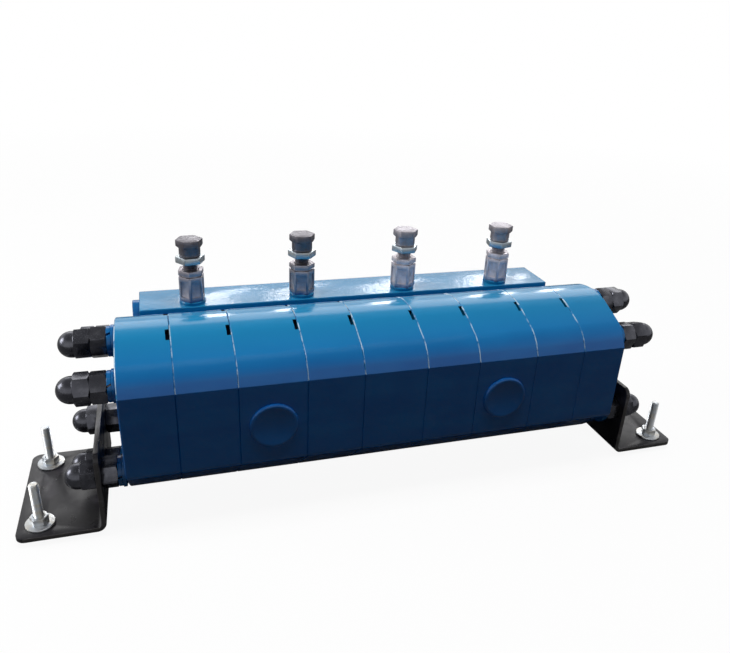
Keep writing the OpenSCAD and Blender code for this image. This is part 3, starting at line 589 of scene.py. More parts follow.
@dataclass(frozen=True)
class PortThread:
    """A threaded port, cut by one tool: chamfered mouth, thread grooves and the drilled way behind."""

    minor: float
    major: float
    pitch: float
    depth: float
    drill: float
    drill_depth: float
    mouth: float = 0.8 * MM
    mouth_depth: float = 1.0 * MM

    def cutter(self) -> Piece:
        """Turn the tool, with the port's mouth at the origin and its floor towards -Z."""
        rim = self.major + self.mouth
        points: list[Point] = [(0, OVER), (rim + OVER, OVER), (rim, 0), (self.major - 0.2 * MM, -self.mouth_depth)]
        z = -self.mouth_depth
        while z - self.pitch > -self.depth:
            points += [(self.minor, z - self.pitch / 2), (self.major, z - self.pitch)]
            z -= self.pitch
        points += [(self.minor, -self.depth), (self.drill, -self.depth), (self.drill, -self.drill_depth),
                   (0, -self.drill_depth - self.drill * 0.6)]
        return lathe("port_tool", points, 72)


def chamfer(flats: float, share: float) -> tuple[float, float, float]:
    """Give a turned hexagon's corner radius, face radius and chamfer height.

    Args:
        flats: Width across flats.
        share: How far the chamfer runs in, from 0 at the corners to 1 at the flats.

    Returns:
        Radius over the corners, radius of the flat face, and how far the chamfer drops.
    """
    corner = flats / math.sqrt(3) + 0.1 * MM
    inward = share * (corner - flats / 2)
    return corner, corner - inward, inward * math.tan(math.radians(30))


def hex_turned(name: str, flats: float, points: Sequence[Point], edge: float = 0.22 * MM) -> Piece:
    """Make a hexagon piece as a lathe hand does: turn it from hexagon bar.

    Args:
        name: The object's name.
        flats: Width across flats.
        points: The turned outline that cuts the bar's corners and steps.
        edge: How far the remaining sharp edges are broken, or 0 where that comes later.

    Returns:
        The piece.
    """
    heights = [z for _, z in points]
    piece = hex_bar(name, flats, min(heights) - OVER, max(heights) + OVER)
    carve(piece, lathe("turned", points, 72), "INTERSECT")
    return soften(piece, edge) if edge else piece


def hex_nut(name: str, flats: float, low: float, high: float, bore: float, share: float = 1.0,
            edge: float = 0.22 * MM) -> Piece:
    """Make a hexagon nut with chamfered faces and a countersunk bore.

    Args:
        name: The object's name.
        flats: Width across flats.
        low: Height of the lower face.
        high: Height of the upper face.
        bore: Radius of the bore.
        share: How far the chamfers run in.
        edge: How far its sharp edges are broken.

    Returns:
        The nut.
    """
    corner, face, drop = chamfer(flats, share)
    sink = 0.8 * MM
    return hex_turned(name, flats, [
        (bore, low + sink), (bore + sink, low), (face, low), (corner, low + drop), (corner, high - drop),
        (face, high), (bore + sink, high), (bore, high - sink), (bore, low + sink)], edge)


def finish_piece(piece: Piece, materials: Material | Sequence[Material], body: str, slot: str,
                 *nodes: str) -> Piece:
    """Dress a piece, hang it on its body and let it stand for its CAD nodes."""
    focus(piece)
    bpy.ops.object.shade_smooth_by_angle(angle=SMOOTH_ANGLE)
    piece.data.materials.clear()
    for material in [materials] if isinstance(materials, Material) else materials:
        piece.data.materials.append(material)
    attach(piece, body)
    if nodes:
        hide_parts(*nodes)
    LOG.info("%s: %d faces on %s", piece.name, len(piece.data.polygons), body)
    return piece


def middle_of(node: str) -> Vector:
    """Give the centre of a CAD node's box."""
    low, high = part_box(node)
    return (low + high) / 2


# ---------------------------------------------------------------- sub-assemblies


@dataclass
class PlateStack:
    """Nine plates clamped into one body, each with rounded rims that form the seams."""

    crown_height: float = 75.8 * MM
    crown_radius: float = 64 * MM
    shoulder_angle: float = math.radians(24)
    shoulder_radius: float = 30 * MM
    brow_angle: float = math.radians(26)
    crease_height: float = 39.5 * MM
    crease_radius: float = 1.5 * MM
    bottom_drop: float = 72 * MM
    bottom_width: float = 52 * MM
    bevel_height: float = 36 * MM
    corner_radius: float = 6 * MM
    left_rim: float = 0.9 * MM
    right_rim: float = 0.35 * MM
    slot_length: float = 13 * MM
    slot_width: float = 3.5 * MM
    slot_depth: float = 6 * MM
    slot_y: float = 21.5 * MM
    inlet: PortThread = PortThread(15.15 * MM, 16.5 * MM, 2.309 * MM, 20 * MM, 9 * MM, 29 * MM)

    def __post_init__(self) -> None:
        """Take the place of the stack from its CAD nodes."""
        low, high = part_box("gear_section_1")
        self.centre_y = (low.y + high.y) / 2
        self.half_depth = (high.y - low.y) / 2
        self.centre_z = low.z + self.bottom_drop
        self.apex = self.crown_height + self.crown_radius * (1 / math.cos(self.shoulder_angle) - 1)

    def corners(self) -> list[tuple[float, float, float, float]]:
        """Give each corner of the section as y, z, radius and how far the outline turns there."""
        slope, brow = self.shoulder_angle, self.brow_angle
        half, base = self.half_depth, self.bottom_width / 2
        drop = self.apex - half * math.tan(slope) - self.crease_height
        inward = drop / (1 / math.tan(brow) - math.tan(slope))
        brow_z = self.crease_height + inward / math.tan(brow)
        lean = math.atan2(half - base, self.bevel_height)
        found = [(0.0, self.apex, self.crown_radius, 2 * slope)]
        for side in (-1, 1):
            found += [
                (side * (half - inward), brow_z, self.shoulder_radius, math.pi / 2 - brow - slope),
                (side * half, self.crease_height, self.crease_radius, brow),
                (side * half, self.bevel_height - self.bottom_drop, self.corner_radius, lean),
                (side * base, -self.bottom_drop, self.corner_radius, math.pi / 2 - lean),
            ]
        return [(self.centre_y + y, self.centre_z + z, r, turn) for y, z, r, turn in found]

    def blank(self, name: str, x0: float, x1: float) -> Piece:
        """Cut one plate from a box: shoulders, brows, lower bevels, rounded corners and rims."""
        y, z, half = self.centre_y, self.centre_z, self.half_depth
        piece = block(name, (x0, y - half, z - self.bottom_drop), (x1, y + half, z + self.apex))
        slope, brow = self.shoulder_angle, self.brow_angle
        lean = math.atan2(self.bevel_height, half - self.bottom_width / 2)
        open_mesh(piece)
        for side in (-1, 1):
            # each cut is a point of its plane, as y and z, and the normal's part across and upwards
            for cut_y, cut_z, across, upwards in (
                    (y, z + self.apex, math.sin(slope), math.cos(slope)),
                    (y + side * half, z + self.crease_height, math.cos(brow), math.sin(brow)),
                    (y + side * half, z + self.bevel_height - self.bottom_drop, math.sin(lean), -math.cos(lean))):
                bpy.ops.mesh.select_all(action="SELECT")
                bpy.ops.mesh.bisect(plane_co=(0, cut_y, cut_z), plane_no=(0, side * across, upwards),
                                    use_fill=True, clear_outer=True)
        close_mesh()
        for cy, cz, radius, turn in self.corners():
            pick_edges(piece, lambda a, b: all(abs(p.y - cy) < NEAR and abs(p.z - cz) < NEAR for p in (a, b))
                       and abs(a.x - b.x) > MM)
            steps = max(4, round(math.degrees(turn) / 3))
            bpy.ops.mesh.bevel(offset_type="OFFSET", offset=radius * math.tan(turn / 2), segments=steps,
                               profile=0.5, affect="EDGES", clamp_overlap=False)
            close_mesh()
        for x, width in ((x0, self.left_rim), (x1, self.right_rim)):
            pick_edges(piece, lambda a, b: abs(a.x - x) < NEAR / 10 and abs(b.x - x) < NEAR / 10)
            bpy.ops.mesh.bevel(offset_type="OFFSET", offset=width, segments=1, affect="EDGES",
                               clamp_overlap=True)
            close_mesh()
        return piece

    def cut_slots(self, piece: Piece, x1: float) -> None:
        """Mill the two pry slots into the right-hand rim, square to the crown."""
        angle = math.asin(self.slot_y / self.crown_radius)
        top = self.centre_z + self.crown_height
        for side in (-1, 1):
            tool = block("slot_tool", (x1 - self.slot_width, -self.slot_length / 2, -self.slot_depth),
                         (x1 + OVER, self.slot_length / 2, 2 * OVER))
            centre = Vector((0, self.centre_y, top - self.crown_radius))
            lift = Matrix.Translation((0, 0, self.crown_radius))
            put(tool, Matrix.Translation(centre) @ Matrix.Rotation(side * angle, 4, "X") @ lift)
            carve(piece, tool)

    def mark_faces(self, piece: Piece, x0: float, x1: float) -> None:
        """Give the pry slots' walls their painted shade and the left rim above the crease its painted highlight.
        """
        top = self.centre_z + self.crown_height - self.crown_radius
        for face in piece.data.polygons:
            centre = face.center
            if centre.z < self.centre_z + self.crease_height:
                continue
            reach = math.hypot(centre.y - self.centre_y, centre.z - top)
            # the slot walls take the dark coat, painted shade; the left rim's slanted faces take the pale coat,
            # painted highlight
            if x1 - self.slot_width - NEAR < centre.x < x1 - NEAR and reach < self.crown_radius - 3 * NEAR:
                face.material_index = 1
            elif centre.x < x0 + self.left_rim and 0.3 < abs(face.normal.x) < 0.95:
                face.material_index = 2

    def build(self, enamel: Material, slot_shade: Material, wear_and_highlight: Material) -> None:
        """Build all nine plates."""
        names = ["left_end_cover", "gear_section_1", "mid_plate_1", "gear_section_2", "mid_plate_2",
                 "gear_section_3", "mid_plate_3", "gear_section_4", "right_end_cover"]
        for node in names:
            low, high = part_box(node)
            piece = self.blank(node + "_painted", low.x, high.x)
            if node != names[-1]:
                self.cut_slots(piece, high.x)
            if node in ("mid_plate_1", "mid_plate_3"):
                mouth = Vector(((low.x + high.x) / 2, self.centre_y - self.half_depth, self.centre_z))
                carve(piece, put(self.inlet.cutter(), axis_matrix(mouth, FORWARD)))
            # the second coat is painted shade for the slots, the third a painted highlight for the rims
            finish_piece(piece, (enamel, slot_shade, wear_and_highlight), "housing", "plate_enamel", node)
            self.mark_faces(piece, low.x, high.x)


@dataclass
class TieRodHardware:
    """Washers, spring washers, hexagon nuts and dome nuts on both ends of six tie rods."""

    circle_radius: float = 60 * MM
    circle_height: float = 72 * MM
    angle: float = 43.0
    bracket_plate: float = 4 * MM
    rod_radius: float = 8 * MM
    flats: float = 24 * MM
    washer_radius: float = 14 * MM
    washer_height: float = 3 * MM
    spring_radius: float = 13 * MM
    spring_height: float = 3.5 * MM
    split_width: float = 1.8 * MM
    split_slant: float = 24.0
    nut_height: float = 13 * MM
    dome_hex_height: float = 12.5 * MM
    dome_neck: float = 2.3 * MM
    dome_radius: float = 11.2 * MM
    dome_steps: int = 12

    def ends(self, seat: float, lower_extra: float = 0.0) -> list[Matrix]:
        """Give the place of a piece on every rod end, seat metres out from the end face."""
        low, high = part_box("left_end_cover")
        centre = Vector((0, (low.y + high.y) / 2, low.z + self.circle_height))
        places = []
        for i, degrees in enumerate((self.angle, 90, 180 - self.angle, 180 + self.angle, 270, 360 - self.angle)):
            turn = math.radians(degrees)
            reach = seat + (lower_extra if math.sin(turn) < 0 else 0)
            for side in (-1, 1):
                place = centre + Vector((side * (-low.x + reach), self.circle_radius * math.cos(turn),
                                         self.circle_radius * math.sin(turn)))
                # each nut stopped where its thread was tight
                spin = math.radians((37 * i + 19 * side + int(seat / MM) * 13) % 60)
                places.append(axis_matrix(place, Vector((side, 0, 0)), spin))
        return places

    def washer(self) -> Piece:
        """Turn a plain washer with rounded rims."""
        r, h, b, e = self.washer_radius, self.washer_height, self.rod_radius + 0.5 * MM, 0.5 * MM
        return lathe("washer", [(b, 0), (r - e, 0), (r - 0.3 * e, 0.3 * e), (r, e), (r, h - e),
                                (r - 0.3 * e, h - 0.3 * e), (r - e, h), (b, h), (b, 0)])

    def spring_washer(self) -> Piece:
        """Turn a spring washer and saw its split at a slant."""
        r, h, b, e = self.spring_radius, self.spring_height, self.rod_radius + 0.5 * MM, 0.4 * MM
        piece = lathe("spring_washer", [(b, 0), (r - e, 0), (r, e), (r, h - e), (r - e, h), (b, h), (b, 0)])
        saw = block("split_tool", (0, -self.split_width / 2, -6 * MM), (2 * r, self.split_width / 2, 10 * MM))
        return carve(piece, put(saw, Matrix.Rotation(math.radians(self.split_slant), 4, "X")))

    def nut(self) -> Piece:
        """Make a hexagon nut with both faces chamfered."""
        return hex_nut("nut", self.flats, 0, self.nut_height, self.rod_radius + 0.2 * MM)

    def dome_nut(self) -> Piece:
        """Make a dome nut: a chamfered hexagon that runs into a short neck and a round end."""
        corner, face, drop = chamfer(self.flats, 1.0)
        h, r, steps = self.dome_hex_height, self.dome_radius, self.dome_steps
        points: list[Point] = [(0, 0), (face, 0), (corner, drop), (corner, h - drop), (face, h),
                               (r + 0.25 * MM, h), (r, h + 0.3 * MM), (r, h + self.dome_neck)]
        for i in range(1, steps + 1):
            a = math.pi / 2 * i / steps
            points.append((r * math.cos(a) if i < steps else 0, h + self.dome_neck + r * math.sin(a)))
        return hex_turned("dome_nut", self.flats, points)

    def build(self, enamel: Material, oxide: Material) -> None:
        """Build the hardware on all twelve rod ends, each layer seated on the one before."""
        seat = 0.0
        for make, height, name, node, material, slot in (
                (self.washer, self.washer_height, "rod_washers", "tie_rod_washers", enamel, "washer_enamel"),
                (self.spring_washer, self.spring_height, "rod_spring_washers", "tie_rod_spring_washers",
                 enamel, "washer_enamel"),
                (self.nut, self.nut_height, "rod_hexagon_nuts", "tie_rod_hex_nuts", oxide, "nut_black"),
                (self.dome_nut, 0.0, "rod_dome_nuts", "tie_rod_dome_nuts", oxide, "nut_black")):
            extra = self.bracket_plate if node == "tie_rod_dome_nuts" else 0.0
            piece = copies(make(), self.ends(seat, extra), name)
            finish_piece(piece, material, "housing", slot, node)
            seat += height


@dataclass
class Feet:
    """Two angle brackets and the four bolts that stand up through them."""

    bolt_radius: float = 4 * MM
    pitch: float = 1.25 * MM
    flats: float = 13 * MM
    head_height: float = 5.3 * MM
    head_chamfer: float = 0.6 * MM
    nut_height: float = 6.5 * MM
    washer_radius: float = 12 * MM
    washer_height: float = 2 * MM
    edge: float = 0.45 * MM

    def bolt(self) -> Piece:
        """Make one bolt, head down, with a wound thread and a chamfered tip."""
        top, h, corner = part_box("foot_bolts")[1].z, self.head_height, self.flats / math.sqrt(3)
        rod = threaded_rod("bolt", self.bolt_radius, self.pitch, h - OVER, top)
        r, tip = self.bolt_radius + 0.1 * MM, 1.0 * MM
        ends = lathe("tip", [(0, 0), (r, 0), (r, top - tip), (r - tip, top), (0, top)], 48)
        carve(rod, ends, "INTERSECT")
        head = hex_turned("head", self.flats, [(0, 0), (self.flats / 2, 0), (corner, self.head_chamfer),
                                               (corner, h), (0, h)])
        return join("bolt", rod, head)

    def washer(self) -> Piece:
        """Turn a wide washer with rolled rims."""
        r, h, b, e = self.washer_radius, self.washer_height, self.bolt_radius + 0.2 * MM, 0.5 * MM
        return lathe("wide_washer", [(b, 0), (r - e, 0), (r, e), (r, h - e), (r - 0.4 * e, h - 0.3 * e),
                                     (r - e, h), (b, h), (b, 0)])

    def nut(self) -> Piece:
        """Make one foot nut."""
        return hex_nut("foot_nut", self.flats, 0, self.nut_height, self.bolt_radius + 0.05 * MM)

    def build(self, paint: Material, cut_edge: Material, zinc: Material) -> None:
        """Build both brackets and all foot bolts."""
        for side in ("left", "right"):
            piece = from_node(f"{side}_bracket", f"{side}_angle_bracket", self.edge)
            finish_piece(piece, (paint, cut_edge), "housing", "bracket_black", f"{side}_bracket")
            self.bare_edges(piece)
        low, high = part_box("foot_bolts")
        x = high.x - self.flats / math.sqrt(3)
        spots = [Vector((side * x, y, 0)) for side in (-1, 1)
                 for y in (low.y + self.flats / 2, high.y - self.flats / 2)]
        for node, make, seat in (("foot_bolts", self.bolt, 0.0),
                                 ("foot_washers", self.washer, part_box("foot_washers")[0].z),
                                 ("foot_nuts", self.nut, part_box("foot_nuts")[0].z)):
            places = [axis_matrix(spot + UP * seat, UP) for spot in spots]
            piece = copies(make(), places, node.removesuffix("s") + "_set")
            finish_piece(piece, zinc, "housing", "foot_zinc", node)

    def bare_edges(self, piece: Piece) -> None:
        """Give the narrow cut edges of a bracket their thinner, greyer paint."""
        low, high = Vector(piece.bound_box[0]), Vector(piece.bound_box[6])
        for face in piece.data.polygons:
            centre = face.center
            outer = min(centre.y - low.y, high.y - centre.y, high.z - centre.z,
                        abs(abs(centre.x) - max(abs(low.x), abs(high.x)))) < 3 * NEAR
            face.material_index = 1 if outer else 0


@dataclass
class Manifold:
    """Valve block behind the stack, with four outlets, its screws and the seats of the valves."""

    edge: float = 1.0 * MM
    outlet: PortThread = PortThread(12.05 * MM, 13.15 * MM, 1.814 * MM, 18 * MM, 7 * MM, 45 * MM)
    valve_back: float = 14 * MM
    seat_radius: float = 12.5 * MM
    seat_height: float = 3.3 * MM
    bore_radius: float = 7.6 * MM
    bore_depth: float = 30 * MM
    screw_radius: float = 4 * MM
    screw_head: float = 6.5 * MM
    screw_shank: float = 6 * MM
    plug_radius: float = 16.5 * MM
    end_plug_radius: float = 9 * MM
    plug_shank: float = 8 * MM
    plug_socket: float = 12 * MM

    def screw_places(self) -> list[Matrix]:
        """Give the place of each manifold screw's head seat, with Z to the rear."""
        low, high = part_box("manifold_screws")
        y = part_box("valve_manifold")[1].y - 2 * self.screw_radius
        return [axis_matrix(Vector((middle_of(node).x, y, z)), BACK)
                for node in ("mid_plate_1", "mid_plate_2", "mid_plate_3")
                for z in (low.z + self.screw_head, high.z - self.screw_head)]

    def screw(self) -> Piece:
        """Make a socket screw: turned head, rounded rim and a hexagon socket."""
        r, head, h, shank = self.screw_radius, self.screw_head, 2 * self.screw_radius, self.screw_shank
        face = h - 0.02 * MM
        piece = lathe("socket_screw", [(0, -shank), (r, -shank), (r, 0), (head, 0), (head, h - 0.7 * MM),
                                       (head - 0.2 * MM, h - 0.2 * MM), (head - 0.7 * MM, face), (0, face)])
        carve(piece, hex_bar("socket", 1.5 * r, h * 0.45, h + OVER))
        return soften(piece, 0.15 * MM)

    def plug(self, r: float, head: float) -> Piece:
        """Turn one gallery plug: a collar with rounded rim, a socket and a short end in the bore."""
        e, shank = 0.8 * MM, self.plug_shank
        piece = lathe("gallery_plug", [(0, -3 * MM), (shank, -3 * MM), (shank, 0), (r, 0), (r, head - e),
                                       (r - 0.3 * e, head - 0.3 * e), (r - e, head), (0, head)])
        carve(piece, hex_bar("plug_socket", self.plug_socket, head * 0.3, head + OVER))
        return soften(piece, 0.2 * MM)

    def plugs(self) -> Piece:
        """Set a wide plug into the gallery's left end and a small one into its right end."""
        low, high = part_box("valve_manifold")
        centre, head = middle_of("gallery_plugs"), low.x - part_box("gallery_plugs")[0].x
        pair = [put(self.plug(r, head), axis_matrix(Vector((x, centre.y, centre.z)), Vector((side, 0, 0))))
                for r, x, side in ((self.plug_radius, low.x, -1), (self.end_plug_radius, high.x, 1))]
        return join("gallery_plug_pair", *pair)

    def cut_valve(self, piece: Piece, x: float, front: float, top: float) -> None:
        """Raise the seat of one valve on the block and bore it."""
        place = axis_matrix(Vector((x, front + self.valve_back, top)), UP)
        r, h, bore, depth = self.seat_radius, self.seat_height, self.bore_radius, self.bore_depth
        seat = lathe("seat", [(0, -2 * MM), (r, -2 * MM), (r, 0.2 * MM), (r - 0.15 * MM, h - 0.8 * MM),
                              (r - 0.8 * MM, h), (0, h)])
        carve(piece, put(seat, place), "UNION")
        drill = lathe("bore", [(0, -depth), (bore, -depth), (bore, h + OVER), (0, h + OVER)], 48)
        carve(piece, put(drill, place))

    def sink(self) -> Piece:
        """Turn the tool that counterbores one screw's seat."""
        r, h, floor = self.screw_head + 0.5 * MM, 2 * self.screw_radius, -0.01 * MM
        return lathe("sink", [(0, floor), (r, floor), (r, h - 0.5 * MM), (r + 0.5 * MM, h),
                              (r + 0.5 * MM, h + OVER), (0, h + OVER)], 48)

    def build(self, enamel: Material, plug: Material, oxide: Material) -> None:
        """Build the block, its valve seats, plugs and screws."""
        low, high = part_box("valve_manifold")
        top = high.z - self.seat_height
        piece = block("valve_block", low, (high.x, high.y, top))
        soften(piece, self.edge, 3)
        for k in range(1, 5):
            x = middle_of(f"gear_section_{k}").x
            self.cut_valve(piece, x, low.y, top)
            outlet = Vector((x, high.y, middle_of("port_seals").z))
            carve(piece, put(self.outlet.cutter(), axis_matrix(outlet, BACK)))
        for place in self.screw_places():
            carve(piece, put(self.sink(), place))
        finish_piece(piece, enamel, "housing", "manifold_enamel", "valve_manifold")
        screws = copies(self.screw(), self.screw_places(), "socket_screw_set")
        finish_piece(screws, oxide, "housing", "screw_black", "manifold_screws")
        finish_piece(self.plugs(), plug, "housing", "plug_enamel", "gallery_plugs")


@dataclass
class InletCap:
    """Cap that keeps dirt out of an inlet port until its pipe is fitted."""

    radius: float = 21 * MM
    height: float = 2.5 * MM
    plug_radius: float = 14.9 * MM
    plug_wall: float = 2 * MM
    plug_length: float = 12 * MM
    # the rolled rim, as steps in and down from the cap's top corner, in millimetres
    rim_mm: tuple[Point, ...] = ((4.2, 0.25), (3.4, 0), (1.9, 0), (0.95, 0.25), (0.25, 0.95), (0, 1.8))

    def build(self, number: int, enamel: Material) -> None:
        """Build one cap and hang it on its own body."""
        r, h, p, w, length = self.radius, self.height, self.plug_radius, self.plug_wall, self.plug_length
        rim = [(r - inward * MM, h - down * MM) for inward, down in self.rim_mm]
        points = [(0, rim[0][1]), *rim, (r, 0), (p, 0), (p, -length + 0.8 * MM), (p - 0.6 * MM, -length),
                  (p - w, -length), (p - w, 0.6 * MM), (0, 0.6 * MM)]
        piece = lathe(f"inlet_cap_{number}_disc", points, 96)
        low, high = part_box(f"inlet_cap_{number}")
        place = Vector(((low.x + high.x) / 2, low.y + h, (low.z + high.z) / 2))
        put(piece, axis_matrix(place, FORWARD))
        finish_piece(piece, enamel, f"cap_{number}", "cap_enamel", f"inlet_cap_{number}")


@dataclass
class ReliefValve:
    """Adjustable relief valve: hexagon body, lock nut and screwed adjuster."""

    number: int
    body_turn: float
    nut_turn: float
    head_turn: float
    flats: float = 22 * MM
    nut_flats: float = 24 * MM
    foot: float = 0.05 * MM
    boss_height: float = 3.3 * MM
    hex_top: float = 27.8 * MM
    groove_top: float = 29.3 * MM
    groove_depth: float = 1.4 * MM
    collar_top: float = 34.0 * MM
    nut_low: float = 41.3 * MM
    nut_high: float = 47.3 * MM
    head_low: float = 56.5 * MM
    head_high: float = 63.5 * MM
    bore: float = 7.08 * MM
    thread: float = 7.0 * MM
    thread_pitch: float = 1.5 * MM
    thread_below: float = 20 * MM
    neck: float = 10 * MM
    window_width: float = 9 * MM
    window_height: float = 16 * MM
    window_depth: float = 1.1 * MM
    chamfer_share: float = 0.35
    edge: float = 0.2 * MM

    def place(self, turn: float) -> Matrix:
        """Give the valve's place on the block, with a hexagon corner turned to an angle in degrees."""
        low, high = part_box(f"valve_body_{self.number}")
        base = Vector(((low.x + high.x) / 2, (low.y + high.y) / 2, high.z - self.collar_top))
        return axis_matrix(base, UP) @ Matrix.Rotation(math.radians(turn), 4, "Z")

    def body(self) -> Piece:
        """Turn the body from hexagon bar and mill a window into each flat."""
        flat, b, foot, boss = self.flats / 2, self.bore, self.foot, self.boss_height
        corner, face, drop = chamfer(self.flats, self.chamfer_share)
        groove = flat - self.groove_depth
        points = [(b, foot), (flat, foot), (flat, boss - 0.4 * MM), (corner, boss + 0.9 * MM),
                  (corner, self.hex_top - drop), (face, self.hex_top), (groove, self.hex_top),
                  (groove, self.groove_top), (face, self.groove_top), (corner, self.groove_top + drop),
                  (corner, self.collar_top - drop), (face, self.collar_top), (b + 1.0 * MM, self.collar_top),
                  (b, self.collar_top - 1.0 * MM), (b, foot)]
        # its edges are broken after the windows, because a softened hexagon doesn't cut cleanly
        piece = hex_turned("valve_hex", self.flats, points, 0)
        middle, w, h = (boss + self.hex_top) / 2, self.window_width / 2, self.window_height / 2
        for i in range(6):
            tool = block("window", (flat - self.window_depth, -w, middle - h), (flat + OVER, w, middle + h))
            carve(piece, put(tool, Matrix.Rotation(math.radians(30 + 60 * i), 4, "Z")))
        return soften(piece, self.edge)

    def lock_nut(self) -> Piece:
        """Make the lock nut."""
        return hex_nut("lock", self.nut_flats, self.nut_low, self.nut_high, self.bore, self.chamfer_share,
                       self.edge)

    def adjuster(self) -> Piece:
        """Turn the adjuster head and neck, and wind the thread below it."""
        flat, n, low, high, neck_low = self.flats / 2, self.neck, self.head_low, self.head_high, self.nut_high
        corner, face, drop = chamfer(self.flats, self.chamfer_share)
        points = [(0, neck_low), (n - 0.8 * MM, neck_low), (n, neck_low + 0.8 * MM), (n, low - 0.2 * MM),
                  (n + 0.3 * MM, low), (flat, low + 0.1 * MM), (corner, low + 1.6 * MM),
                  (corner, high - drop), (face, high), (0, high)]
        head = hex_turned("head", self.flats, points, self.edge)
        put(head, Matrix.Rotation(math.radians(self.head_turn), 4, "Z"))
        screw = threaded_rod("screw", self.thread, self.thread_pitch, self.collar_top - self.thread_below,
                             neck_low + 0.5 * MM)
        return join("head", head, screw)

    def build(self, steel: Material, adjuster: Material, zinc: Material) -> None:
        """Build the three outer pieces of the valve."""
        k = self.number
        for make, turn, name, material, body, slot, node in (
                (self.body, self.body_turn, "body", steel, "housing", "valve_body_steel", "valve_body"),
                (self.lock_nut, self.nut_turn, "lock_nut", zinc, f"lock_nut_{k}", "lock_nut_zinc", "lock_nut"),
                (self.adjuster, 0.0, "adjuster", adjuster, f"adjuster_{k}", "adjuster_steel", "adjuster")):
            piece = put(make(), self.place(turn))
            piece.name = f"valve_{k}_{name}"
            finish_piece(piece, material, body, slot, f"{node}_{k}")


@dataclass
class InnerWorks:
    """CAD pieces that keep their own shape, such as gears, bearings, seals and springs."""

    def build(self) -> None:
        """Give every carried-over CAD node its finish."""
        finishes = {
            "bearing_blocks": BearingBronze().material(),
            "section_seals": NitrileRubber().material(),
            "tie_rods": BlackOxide("rod_black_oxide").material(),
            "drive_gear": MachinedSteel("gear_steel_ground", "#b4b7bc", "#9a9da3", 0.26).material(),
            "poppet": MachinedSteel("poppet_steel_ground", "#b9bbc0", "#a2a4aa", 0.22, 0.3).material(),
            "valve_spring": MachinedSteel("spring_wire_drawn", "#8c9097", "#6f7279", 0.3, 0.6).material(),
        }
        same = {"port_seals": "section_seals", "idler_gear": "drive_gear", "shaft_couplings": "drive_gear",
                "spring_seat": "poppet"}
        for name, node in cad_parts.items():
            if node.hide_render:
                continue
            kind = next((k for k in (*finishes, *same) if name.startswith(k)), None)
            if kind is None:
                LOG.warning("%s has no finish of its own", name)
                continue
            material = finishes[same.get(kind, kind)]
            node.data.materials.clear()
            node.data.materials.append(material)
            LOG.info("%s: CAD shape kept, %s", name, material.name)


# ---------------------------------------------------------------- studio


class Use(Enum):
    """What a lamp is for."""

    LIGHT = "light"
    MIRRORED = "mirrored"
    BOTH = "both"


